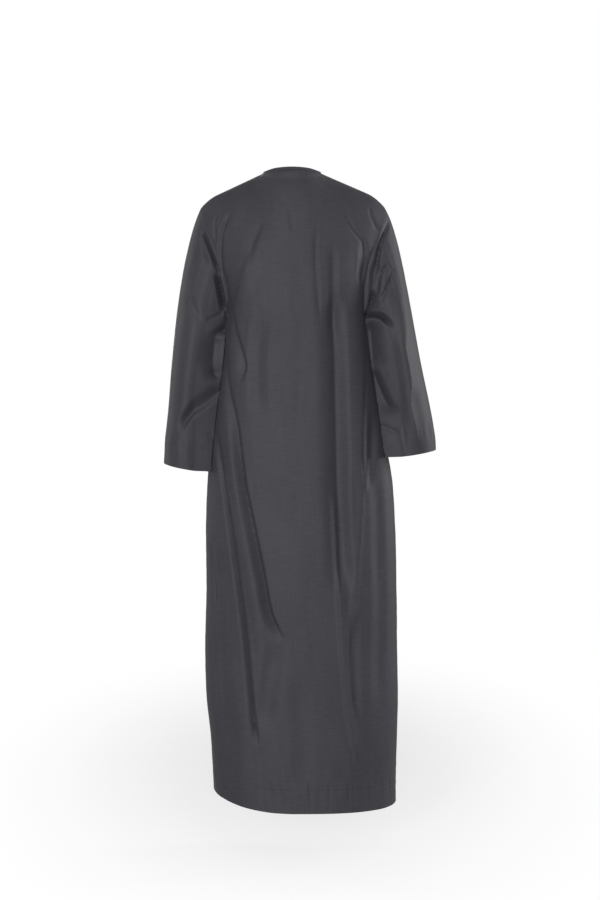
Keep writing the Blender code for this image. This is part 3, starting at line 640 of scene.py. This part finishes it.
def body_grid(piece, columns, run, corners=None, seed=0):
    """Outer skin of a body piece, folds and all, with its normals and its places on the cloth."""
    shares = column_shares(columns, run)
    grid = lower_rows(piece, shares)
    if corners:
        grid = np.vstack([upper_rows(grid, shares, corners, piece == "front"), grid])
    normal = facing(grid, False)
    behind, before = (np.clip(way * normal[..., 1], 0.0, 1.0) for way in (FOLD_FACING, -FOLD_FACING))
    depth = fold_depth(grid, BACK_FOLDS) * behind + fold_depth(grid, FRONT_FOLDS) * before
    grid = grid + normal * np.array(FOLD_PUSH) * depth[..., None]
    normal = facing(grid, False)[:, :-4]
    grid = grid[:, :-4]
    across, down = cloth_places(grid)
    from_seam = np.minimum(across - across[:, :1], across[:, -1:] - across)
    above_hem = down[-1:] - down
    small = hang_waver(across, down, seed) * smooth_step(0.0, STILL[0], from_seam)
    small += hem_pucker(across, above_hem, HEM_DEPTH, seed + 7) * smooth_step(0.0, STILL[1], from_seam)
    height, tall, reach = SEAM_RIPPLE
    small += height * wander(0 * down, down / tall, seed + 5) * np.exp(-((from_seam / reach) ** 2))
    if corners:
        small *= smooth_step(0.0, STILL[2], down)
        small += seam_roll(down) * (np.abs(grid[..., 0]) > NECK_HALF_WIDTH + 0.002)
        normal[0, :, 1] = 0.0
        normal[0] = unit(normal[0])
    small += seam_roll(from_seam)
    return grid + normal * small[..., None], normal, across, down


def shell_of(name, outer, inner, places, closed=False):
    """One closed shell between two grids of points, with its place on the cloth as its UV map."""
    count = outer.shape[0] * outer.shape[1]
    index = np.arange(count).reshape(outer.shape[:2])
    if closed:
        index = np.concatenate([index, index[:, :1]], axis=1)
    a, b, c, d = index[:-1, :-1], index[1:, :-1], index[1:, 1:], index[:-1, 1:]
    skin = np.stack([a, b, c, d], axis=-1).reshape(-1, 4)
    faces = [skin, skin[:, ::-1] + count]
    edges = [(index[0], False), (index[-1], True)]
    if not closed:
        edges += [(index[:, 0], True), (index[:, -1], False)]
    for edge, flip in edges:
        rim = np.stack([edge[:-1], edge[1:], edge[1:] + count, edge[:-1] + count], axis=-1)
        faces.append(rim[:, ::-1] if flip else rim)
    faces = np.concatenate(faces)
    spots = np.stack([places[0].ravel(), places[1].ravel()], axis=1)
    spots = np.concatenate([spots, spots])
    mesh = bpy.data.meshes.new(name)
    mesh.vertices.add(2 * count)
    mesh.vertices.foreach_set("co", np.concatenate([outer.ravel(), inner.ravel()]))
    mesh.loops.add(faces.size)
    mesh.loops.foreach_set("vertex_index", faces.ravel())
    mesh.polygons.add(len(faces))
    mesh.polygons.foreach_set("loop_start", np.arange(0, faces.size, 4))
    mesh.polygons.foreach_set("use_smooth", np.ones(len(faces), bool))
    mesh.update(calc_edges=True)
    mesh.uv_layers.new(name="grain").data.foreach_set("uv", spots[faces.ravel()].ravel())
    mesh.set_sharp_from_angle(angle=math.radians(70))
    return placed(name, mesh)


def two_tone(nodes, links, value, tones, target):
    """Leads a value through a ramp of two tones, each its place and its colour."""
    shade = nodes.new("ShaderNodeValToRGB")
    for stop, (position, colour) in zip(shade.color_ramp.elements, tones):
        stop.position = position
        stop.color = (*colour, 1.0)
    links.new(value, shade.inputs["Fac"])
    links.new(shade.outputs["Color"], target)


def robe_cloth(name):
    """Plain-woven charcoal suiting: slubbed threads both ways, a fine weave and a soft bloom."""
    material, nodes, links, shader = shader_tree(name)
    set_inputs(shader, CLOTH_FINISH)
    grain = nodes.new("ShaderNodeUVMap")
    grain.uv_map = "grain"

    def threads(across, down, detail, seed):
        spread = nodes.new("ShaderNodeMapping")
        set_inputs(spread, {"Scale": (across, down, 1.0), "Location": (seed * 7.3, seed * 3.1, 0.0)})
        links.new(grain.outputs["UV"], spread.inputs["Vector"])
        noise = nodes.new("ShaderNodeTexNoise")
        noise.noise_dimensions = "2D"
        set_inputs(noise, {"Scale": 1.0, "Detail": detail})
        links.new(spread.outputs["Vector"], noise.inputs["Vector"])
        return noise.outputs["Fac"]

    def part_way(first, second, share):
        mix = nodes.new("ShaderNodeMix")
        set_inputs(mix, {"Factor": share})
        links.new(first, mix.inputs["A"])
        links.new(second, mix.inputs["B"])
        return mix.outputs["Result"]

    fine = part_way(threads(900.0, 26.0, 2.0, 1), threads(26.0, 900.0, 2.0, 2), 0.5)
    coarse = part_way(threads(300.0, 14.0, 2.0, 3), threads(36.0, 270.0, 2.0, 4), 0.60)
    mottle = part_way(part_way(fine, coarse, 0.60), threads(9.0, 6.0, 3.0, 5), 0.25)
    two_tone(nodes, links, mottle, CLOTH_TONES, shader.inputs["Base Color"])
    weave = nodes.new("ShaderNodeTexChecker")
    set_inputs(weave, {"Scale": 2200.0})
    links.new(grain.outputs["UV"], weave.inputs["Vector"])
    bump = nodes.new("ShaderNodeBump")
    set_inputs(bump, {"Strength": 0.16, "Distance": 0.0005})
    links.new(part_way(part_way(fine, coarse, 0.4), weave.outputs["Fac"], 0.3), bump.inputs["Height"])
    links.new(bump.outputs["Normal"], shader.inputs["Normal"])
    return material


def dress(piece, node):
    """Gives a cloth piece its finish, body and material slot, and hides the part it stands for."""
    piece.data.materials.append(robe_cloth(piece.name + "_weave"))
    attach(piece, "root")
    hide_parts(node)


def wall_behind(grid, normal, above_edge, hem_depth):
    """The inner skin, set back by one cloth, or by two where the hem is turned up inside."""
    turned_up = smooth_step(hem_depth + 0.002, hem_depth - 0.002, above_edge)
    return grid - normal * (CLOTH + TURNED_CLOTH * turned_up)[..., None]


def body_piece(node, name, columns, run, seed, corners=None):
    """Builds and dresses a piece of the body. Gives its skin, normals and places down the cloth."""
    grid, normal, across, down = body_grid(node, columns, run, corners, seed)
    inner = wall_behind(grid, normal, down[-1:] - down, HEM_DEPTH)
    dress(shell_of(name, grid, inner, (across, down)), node)
    return grid, normal, down


back, back_normal, back_down = body_piece(
    "back", "back_panel", BACK_COLUMNS, PANEL_RUN, 11,
    NECK_CORNERS_BACK,
)

# The front panel. It is cut like the back with a lower neck, and isn't seen in the photograph,
# so its folds are like the back's: drags from the chest and armpits, long rolls down the skirt.
NECK_CORNERS_FRONT = (7 / 22, 15 / 22)
FRONT_COLUMNS = 121
front, front_normal, front_down = body_piece(
    "front", "front_panel", FRONT_COLUMNS, PANEL_RUN, 31,
    NECK_CORNERS_FRONT,
)

# The side gores. Each side has one towards the back and one towards the front, joined at the
# side seam. They are narrow under the arm and wide at the hem, and give the skirt its sweep.
GORE_COLUMNS = 52
GORE_RUN = 0.13
gores = {}
for seed, (side, half) in enumerate(
    (("left", "back"), ("left", "front"), ("right", "back"), ("right", "front")), start=5
):
    node = "gore_%s_%s" % (side, half)
    gores[side, half] = body_piece(
        node, "side_" + node, GORE_COLUMNS, GORE_RUN, 10 * seed
    )

# The sleeves. Each is a straight, wide tube of the same cloth, set into its armhole. The arms
# hang, so the sleeves fold at the armpit and elbow and end in a deep plain hem.
ELBOW = -0.420
SLEEVE_COLUMNS = 280
SLEEVE_UPPER_ROWS = 66
SLEEVE_LOWER_ROWS = 66
SLEEVE_SQUARENESS = 2.2
SLEEVE_FLARE = 0.30
SLEEVE_LEAN = 0.34
SLEEVE_LEAN_ENDS = (-0.620, -0.500)
SLEEVE_TOP_PULL = 0.22
SLEEVE_ELBOW_PULL = 0.34
UNDERARM_CLEARANCE = 0.0006
SLEEVE_CLEARANCE = 0.0012
SLEEVE_TUCK = 0.030
TUCK_FACING = (0.45, 0.85)
SLEEVE_FOLD_FACING = 2.0
SLEEVE_FOLD_PUSH = (0.0, 1.0, 0.2)
SLEEVE_FOLDS_START = 0.020
LEAN_ACROSS = (0.35, -0.90)
CUFF_DEPTH = 0.050
NEAR_ARMHOLE = (0.0, 0.0012, 0.0026, 0.0042, 0.0062)
UPPER_ARM_RUN = 0.22
SLEEVE_RING_POINTS = 901
# height, outer edge, inner edge, back depth and front depth, in millimetres
SLEEVE_SECTIONS = {
    "left": np.array((
        (-400, 271, 158, 74, -79),
        (-450, 276, 166, 71, -79),
        (-540, 283, 180, 66, -78),
        (-610, 290.5, 190, 63, -76),
        (-680, 294.5, 194, 61, -74),
    )) / MM_IN_M,
    "right": np.array((
        (-400, -287, -177, 74, -79),
        (-450, -296.5, -185, 72, -79),
        (-540, -315, -203, 68, -78),
        (-600, -326, -213, 65, -77),
        (-680, -330, -225, 62, -75),
    )) / MM_IN_M,
}
CUFF_HEIGHTS = {"left": (-0.661, -0.680), "right": (-0.630, -0.647)}
# the same columns as the body's folds; where a path runs across, its left side is the upper one
# on the way to the robe's left, and the lower one on the way to its right
SLEEVE_FOLDS = {
    "left": (
        ("armhole fold", -18, 9, 1, 10, 0.4, ((208, -118), (196, -148), (184, -176), (170, -210),
         (157, -242))),
        ("sleeve head crease", -4.8, 6, 0.5, 8, 0.5, ((212, -128), (203, -160), (194, -190),
         (189, -215))),
        ("armpit curve", -30, 14, 1, 12, 0.5, ((140, -290), (140, -313), (147, -338), (160, -351),
         (173, -360), (196, -373))),
        ("armpit shade", -28, 12, 0.3, 8, 0.5, ((170, -222), (162, -258), (156, -290), (152, -318))),
        ("upper arm crease", -5, 16, 0.2, 12, 0.5, ((229, -280), (226, -291), (218, -311),
         (200, -347))),
        ("short crease", -4.5, 7, 0.3, 7, 0.3, ((196, -334), (182, -330), (164, -321), (154, -316))),
        ("inner elbow hollow", -24, 20, 0.7, 18, 0.2, ((180, -352), (189, -388), (195, -425),
         (193, -455), (188, -474))),
        ("elbow crease", -6, 8, 0.8, 10, 0.3, ((200, -446), (194, -458), (186, -468))),
        ("forearm drag", -17, 22, 0.2, 10, 0.6, ((178, -486), (192, -502), (212, -527), (235, -557),
         (256, -588))),
        ("cuff seam pull", -4, 6, 0.6, 6, 0.6, ((206, -570), (205, -602), (203, -640), (202, -690))),
    ),
    "right": (
        ("armhole fold", -13, 9, 1, 10, 0.4, ((-220, -98), (-213, -120), (-203, -147), (-194, -179),
         (-190, -206), (-187, -240))),
        ("lower armhole fold", -15, 8, 1, 9, 0.6, ((-183, -262), (-181, -280), (-176, -300),
         (-168, -320), (-162, -336))),
        ("upper arm loop, inner", -6.7, 7, 0.5, 8, 0.5, ((-222, -208), (-210, -215), (-199, -230),
         (-193, -258), (-190, -292))),
        ("upper arm loop, outer", -6.7, 8, 0.5, 8, 0.5, ((-226, -212), (-224, -238), (-211, -268),
         (-194, -300))),
        ("armpit ridge", 5.6, 10, 0.3, 10, 0.3, ((-168, -312), (-184, -311), (-202, -313),
         (-220, -326))),
        ("armpit crease", -24, 6, 1, 14, 0.5, ((-158, -329), (-170, -327), (-184, -326), (-200, -329),
         (-214, -340), (-230, -353))),
        ("upper arm hollow", -12, 14, 0.2, 18, 0.3, ((-186, -190), (-186, -235), (-182, -280),
         (-180, -325))),
        ("inner elbow hollow", -30, 20, 0.2, 22, 0.8, ((-180, -330), (-190, -358), (-198, -388),
         (-203, -418), (-206, -450))),
        ("inner forearm hollow", -26, 22, 0.3, 12, 0.8, ((-200, -430), (-212, -475), (-226, -515),
         (-240, -552))),
        ("outer crease", 10, 30, 0.3, 20, 1, ((-238, -183), (-247, -235), (-256, -290), (-259, -350),
         (-256, -394), (-264, -435), (-270, -480), (-266, -516), (-280, -580), (-288, -630))),
        ("cuff crease", -5.6, 6, 0.6, 8, 0.4, ((-219, -568), (-230, -578), (-244, -594))),
    ),
}


def armhole_loop(side):
    """Evenly spaced points of an armhole, down the back, under the arm and up the front."""
    gore_back, gore_front = gores[side, "back"][0][0], gores[side, "front"][0][0]
    if side == "left":
        edges = (back[:, 0], gore_back[::-1], gore_front[::-1], front[:, -1])
    else:
        edges = (back[:, -1], gore_back, gore_front, front[:, 0])
    up_back, up_front = edges[0][: UPPER_ROWS + 1], edges[3][: UPPER_ROWS + 1]
    loop = np.vstack([up_back, edges[1][1:], edges[2][1:], up_front[::-1][1:-1], up_back[:1]])
    lengths = run_lengths(np.linalg.norm(np.diff(loop, axis=0), axis=1))
    return points_at(np.linspace(0.0, lengths[-1], SLEEVE_COLUMNS + 1)[:-1], lengths, loop.T)


def sleeve_ring(side, height, fractions):
    outer, inner, behind, before = (
        column[0] for column in smooth_through(SLEEVE_SECTIONS[side], height)
    )
    angles = np.linspace(0.0, 2 * np.pi, SLEEVE_RING_POINTS)
    aside, ahead = (signed_power(part(angles), 2 / SLEEVE_SQUARENESS) for part in (np.cos, np.sin))
    x = (outer + inner) / 2 + (outer - inner) / 2 * aside
    y = (behind + before) / 2 + (behind - before) / 2 * ahead
    inwards = smooth_step(*LEAN_ACROSS, (2 * x - outer - inner) / (outer - inner))
    lean = SLEEVE_LEAN * inwards * smooth_step(*SLEEVE_LEAN_ENDS, height)
    y = np.where(y > 0, y * (1 - lean), y)
    lengths = run_lengths(np.hypot(np.diff(x), np.diff(y)))
    return points_at(fractions * lengths[-1], lengths, (x, y, 0 * x + height))


def clear_of_body(grid, side):
    """The sleeve moved out, where it would touch, to lie just clear of the body's side."""
    sign = 1.0 if side == "left" else -1.0
    moved = grid.copy()
    shape = grid.shape[:2]
    left, right, behind, before, square = (
        column.reshape(shape) for column in smooth_through(BODY_SECTIONS, grid[..., 2].ravel())
    )
    depth = np.where(grid[..., 1] >= 0, behind, -before)
    share = np.clip(np.abs(grid[..., 1]) / depth, 0.0, 1.0)
    edge = (left - right) / 2 * (1 - share**square) ** (1 / square)
    below = smooth_step(UNDERARM, UNDERARM - 0.09, grid[..., 2])
    clearance = UNDERARM_CLEARANCE + (SLEEVE_CLEARANCE - UNDERARM_CLEARANCE) * below
    limit = (left + right) / 2 * sign + edge + clearance
    under = grid[..., 2] < UNDERARM + 0.02
    moved[..., 0] = np.where(under, sign * np.maximum(sign * grid[..., 0], limit), grid[..., 0])
    return moved


def sleeve_grid(side, seed):
    """Outer skin of a sleeve from its armhole to its cuff, with normals and cloth places."""
    sign = 1.0 if side == "left" else -1.0
    loop = armhole_loop(side)
    fractions = np.arange(SLEEVE_COLUMNS) / SLEEVE_COLUMNS
    start = loop + np.array((sign * SEAM_GAP, 0.0, 0.0))
    elbow = sleeve_ring(side, ELBOW, fractions)
    rise = unit(elbow - sleeve_ring(side, ELBOW - 0.03, fractions))
    run = elbow - start
    length = np.linalg.norm(run, axis=1, keepdims=True)
    outward = SLEEVE_FLARE * (0.5 + 0.5 * np.cos(2 * np.pi * fractions))
    lead = run / length + np.stack([sign * outward, 0 * outward, 0 * outward], axis=1)
    out = start + SLEEVE_TOP_PULL * length * unit(lead)
    turn = elbow + SLEEVE_ELBOW_PULL * length * rise
    near = np.array(NEAR_ARMHOLE) / UPPER_ARM_RUN
    shares = np.concatenate([near, np.linspace(near[-1], 1.0, SLEEVE_UPPER_ROWS - 3)[1:-1]])
    rows = [bezier(t, start, out, turn, elbow) for t in shares]
    cuff_outer, cuff_inner = CUFF_HEIGHTS[side]
    for t in np.linspace(0.0, 1.0, SLEEVE_LOWER_ROWS + 1):
        ring = sleeve_ring(side, ELBOW + t * ((cuff_outer + cuff_inner) / 2 - ELBOW), fractions)
        x = sign * ring[:, 0]
        cuff = cuff_outer + (cuff_inner - cuff_outer) * (x.max() - x) / (x.max() - x.min())
        ring[:, 2] = ELBOW + t * (cuff - ELBOW)
        rows.append(ring)
    grid = np.array(rows)
    if side == "right":
        grid = grid[:, ::-1]
    across, down = cloth_places(grid, closed=True)
    normal = facing(grid, closed=True)
    towards = np.clip(np.abs(normal[..., 1]) * SLEEVE_FOLD_FACING, 0.0, 1.0)
    folds = fold_depth(grid, SLEEVE_FOLDS[side]) * towards
    folds *= smooth_step(0.0, SLEEVE_FOLDS_START, down)
    into = normal * np.array(SLEEVE_FOLD_PUSH)
    depth = hang_waver(across, down, seed) * smooth_step(0.0, 0.03, down)
    depth += hem_pucker(across, down[-1:] - down, CUFF_DEPTH, seed + 7)
    depth += seam_roll(down) * smooth_step(0.0, 0.004, down)
    tuck = SLEEVE_TUCK * smooth_step(*TUCK_FACING, -sign * normal[..., 0])
    below_arm = smooth_step(UNDERARM + 0.02, UNDERARM - 0.05, grid[..., 2])
    tuck *= smooth_step(0.0, 0.02, grid[..., 1]) * below_arm
    grid = grid + normal * depth[..., None] + into * folds[..., None]
    grid[..., 0] -= sign * tuck
    grid = clear_of_body(grid, side)
    normal = facing(grid, closed=True)
    normal[0, :, 0] = sign * np.minimum(sign * normal[0, :, 0], 0.0)
    return grid, unit(normal), across, down


sleeves = {}
for side, seed in (("left", 91), ("right", 111)):
    grid, normal, across, down = sleeve_grid(side, seed)
    sleeves[side] = grid, normal, down
    node = "sleeve_" + side
    inner = wall_behind(grid, normal, down[-1:] - down, CUFF_DEPTH)
    sleeve_piece = shell_of(node + "_cloth", grid, inner, (across, down), closed=True)
    dress(sleeve_piece, node)

# The neck band. A narrow strip of the same cloth is folded double, stands on the neck edge and
# leans in a little. It is open at the middle of the front, over the placket.
LAID_ON_GAP = 0.0003
BAND_HEIGHT = 0.0065
BAND_LEAN = 0.45
BAND_THICKNESS = 0.0014
BAND_POINTS = 81
BAND_CORNER_CUT = 0.45
BAND_ROWS = 11

front_shares = column_shares(FRONT_COLUMNS, PANEL_RUN)
back_shares = column_shares(BACK_COLUMNS, PANEL_RUN)
behind = points_at(np.linspace(*NECK_CORNERS_BACK, BAND_POINTS), back_shares, back[0].T)
before = points_at(np.linspace(*NECK_CORNERS_FRONT, BAND_POINTS), front_shares, front[0].T)
neck_loop = np.vstack([before[BAND_POINTS // 2:], behind[1:-1], before[: BAND_POINTS // 2 + 1]])
neck_loop[0, 0] += LAID_ON_GAP
neck_loop[-1, 0] -= LAID_ON_GAP
inward = -neck_loop * np.array((1.0, 1.0, 0.0))
inward[:, 1] += SHOULDER_SEAM_Y
inward = unit(inward)
upright = np.array((0.0, 0.0, 1.0))
band_up = unit(inward * BAND_LEAN + upright)
band_out = unit(-inward + BAND_LEAN * upright)
near_corner = smooth_step(0.6, 1.0, np.abs(neck_loop[:, 0]) / NECK_HALF_WIDTH)
band_height = BAND_HEIGHT * (1 - BAND_CORNER_CUT * near_corner)
band_outer, band_inner = [], []
for share in np.linspace(1.0, 0.0, BAND_ROWS):
    turned = BAND_THICKNESS / 2 * (1 - math.sqrt(1 - max(0.0, (share - 0.9) / 0.1) ** 2))
    skin = neck_loop + (LAID_ON_GAP + band_height[:, None] * share) * band_up
    band_outer.append(skin - turned * band_out)
    band_inner.append(skin - (BAND_THICKNESS - turned) * band_out)
band_outer, band_inner = np.array(band_outer), np.array(band_inner)
band_piece = shell_of("neck_band_cloth", band_outer, band_inner, cloth_places(band_outer))
dress(band_piece, "neck_band")

# The placket and its buttons. A plain strip covers the head opening at the middle of the front,
# and four plain buttons with four holes each are sewn on it.
PLACKET_SHARES = (10 / 22, 12 / 22)
PLACKET_COLUMNS = 21
PLACKET_ROWS = UPPER_ROWS + 8
BUTTON_RADIUS = 0.0055
BUTTON_THICKNESS = 0.0024
HOLE_RADIUS = 0.0006
HOLE_SPREAD = 0.0013
BUTTON_SEGMENTS = 40
# share of the radius, share of half the thickness
BUTTON_PROFILE = (
    (0.80, -1.0), (0.95, -0.75), (1.0, -0.10), (0.985, 0.55), (0.92, 0.92), (0.84, 1.0),
    (0.80, 0.86), (0.68, 0.42), (0.40, 0.30),
)
BUTTON_TONES = ((0.35, (0.018, 0.018, 0.021)), (0.70, (0.042, 0.040, 0.042)))
PLACKET_PUFF = 0.0006
# depth, place in from the edge, width
EDGE_GROOVE = (0.0004, 0.0035, 0.0008)

placket_shares = np.linspace(*PLACKET_SHARES, PLACKET_COLUMNS)
under, placket_out = (
    np.stack([points_at(placket_shares, front_shares, row.T) for row in rows[: PLACKET_ROWS + 1]])
    for rows in (front, front_normal)
)
placket_out = unit(placket_out)
placket_places = cloth_places(under)
places_across = placket_places[0]
from_edge = np.minimum(places_across - places_across[:, :1], places_across[:, -1:] - places_across)
depth, place, width = EDGE_GROOVE
puffed = CLOTH + PLACKET_PUFF * smooth_step(0.0, 0.003, from_edge)
puffed -= depth * np.exp(-(((from_edge - place) / width) ** 2))
placket = under + placket_out * (LAID_ON_GAP + puffed)[..., None]
placket_piece = shell_of("placket_cloth", placket, under + placket_out * LAID_ON_GAP, placket_places)
dress(placket_piece, "placket")


def cloudy_finish(name, finish, noise, tones):
    """A plain finish whose colour drifts between two tones."""
    material, nodes, links, shader = shader_tree(name)
    set_inputs(shader, finish)
    cloud = nodes.new("ShaderNodeTexNoise")
    set_inputs(cloud, noise)
    place = nodes.new("ShaderNodeTexCoord")
    links.new(place.outputs["Object"], cloud.inputs["Vector"])
    two_tone(nodes, links, cloud.outputs["Fac"], tones, shader.inputs["Base Color"])
    return material


def joined_rings(shape, rings):
    """Adds the skin round a run of rings, closed at both ends."""
    for low, high in zip(rings, rings[1:]):
        for k in range(len(low)):
            n = (k + 1) % len(low)
            shape.faces.new((low[k], low[n], high[n], high[k]))
    shape.faces.new(rings[0][::-1])
    shape.faces.new(rings[-1])


def button_mesh():
    """A dished round button, with four holes drilled through it."""
    half = BUTTON_THICKNESS / 2
    turn = np.linspace(0, 2 * np.pi, BUTTON_SEGMENTS, endpoint=False)
    disc = bmesh.new()
    joined_rings(disc, [
        [
            disc.verts.new((BUTTON_RADIUS * r * math.cos(a), BUTTON_RADIUS * r * math.sin(a), half * h))
            for a in turn
        ]
        for r, h in BUTTON_PROFILE
    ])
    button = placed("button_disc", mesh_of("button_disc", disc))
    drills = bmesh.new()
    for k in range(4):
        aside = (math.cos(math.pi / 4 + k * math.pi / 2), math.sin(math.pi / 4 + k * math.pi / 2))
        made = bmesh.ops.create_cone(
            drills, cap_ends=True, segments=16, radius1=HOLE_RADIUS, radius2=HOLE_RADIUS,
            depth=4 * BUTTON_THICKNESS,
        )
        spot = Vector((HOLE_SPREAD * aside[0], HOLE_SPREAD * aside[1], 0.0))
        bmesh.ops.translate(drills, verts=made["verts"], vec=spot)
    drill = placed("button_drills", mesh_of("button_drills", drills))
    cut = button.modifiers.new("holes", "BOOLEAN")
    cut.object = drill
    cut.operation = "DIFFERENCE"
    shaped = button.evaluated_get(bpy.context.evaluated_depsgraph_get())
    finished = bpy.data.meshes.new_from_object(shaped)
    bpy.data.objects.remove(button)
    bpy.data.objects.remove(drill)
    finished.shade_smooth()
    finished.set_sharp_from_angle(angle=math.radians(40))
    polish = {"Roughness": 0.34, "Coat Weight": 0.25, "Coat Roughness": 0.2}
    grain = {"Scale": 420.0, "Detail": 4.0}
    finished.materials.append(cloudy_finish("button_horn", polish, grain, BUTTON_TONES))
    return finished


button_form = button_mesh()
for k in range(1, 5):
    node = "button_%d" % k
    low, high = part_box(node)
    middle = (np.array(low) + np.array(high)) / 2
    apart = np.linalg.norm(placket - middle, axis=2)
    row, column = np.unravel_index(apart.argmin(), apart.shape)
    out = placket_out[row, PLACKET_COLUMNS // 2]
    spot = placket[row, PLACKET_COLUMNS // 2] + (LAID_ON_GAP + BUTTON_THICKNESS / 2) * out
    button = placed(node + "_disc", button_form.copy())
    button.rotation_mode = "QUATERNION"
    button.rotation_quaternion = Vector(out).to_track_quat("Z", "Y")
    button.location = spot
    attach(button, "root")
    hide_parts(node)

# The sewing. Blind hem stitches catch the cloth at the hem and cuffs, and a line of plain stitching
# runs down each edge of the placket. The thread is dark and lies in one flat piece of stitches.
THREAD = 0.00022
STITCH_RISE = 0.00012
# spacing, length
HEM_STITCH = (0.0105, 0.0034)
EDGE_STITCH = (0.0034, 0.0025)
STITCH_LIFTS = (-2.5, 0.2, 1.0, 0.2, -2.5)
THREAD_SIDES = 6
THREAD_TONES = ((0.0, (0.020, 0.020, 0.024)), (1.0, (0.050, 0.048, 0.056)))


def turned_line(grid, normal, down, depth):
    """Points and outward normals along the line a given way up from a piece's lower edge."""
    below = down - down[-1:]
    spots, outs = [], []
    for c in range(grid.shape[1]):
        spots.append(points_at(-depth, below[:, c], grid[:, c].T))
        outs.append(points_at(-depth, below[:, c], normal[:, c].T))
    return np.array(spots), np.array(outs)


def stitches(shape, line, outward, spacing, length):
    """Adds short threads along a line, each a thin rod that dips into the cloth at both ends."""
    runs = run_lengths(np.linalg.norm(np.diff(line, axis=0), axis=1))
    turn = np.linspace(0, 2 * np.pi, THREAD_SIDES, endpoint=False)[::-1]
    for begin in np.arange(spacing / 2, runs[-1] - length, spacing):
        at = begin + length * np.linspace(0.0, 1.0, len(STITCH_LIFTS))
        spots = points_at(at, runs, line.T)
        out = unit(points_at(begin, runs, outward.T))
        aside = np.cross(out, unit(spots[-1] - spots[0]))
        rings = []
        for spot, lift in zip(spots, STITCH_LIFTS):
            middle = spot + STITCH_RISE * lift * out
            around = [middle + THREAD * (math.cos(a) * aside + math.sin(a) * out) for a in turn]
            rings.append([shape.verts.new(point) for point in around])
        joined_rings(shape, rings)


sewing = bmesh.new()
for skin in ((back, back_normal, back_down), (front, front_normal, front_down), *gores.values()):
    stitches(sewing, *turned_line(*skin, HEM_DEPTH), *HEM_STITCH)
for skin in sleeves.values():
    stitches(sewing, *turned_line(*skin, CUFF_DEPTH), *HEM_STITCH)
for column in (2, PLACKET_COLUMNS - 3):
    stitches(sewing, placket[2:, column], placket_out[2:, column], *EDGE_STITCH)
sewing_mesh = mesh_of("stitches", sewing)
sewing_mesh.shade_smooth()
sewing_mesh.materials.append(
    cloudy_finish("sewing_thread", {"Roughness": 0.55}, {"Scale": 3000.0}, THREAD_TONES)
)
sewing_piece = placed("stitches", sewing_mesh)
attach(sewing_piece, "root")
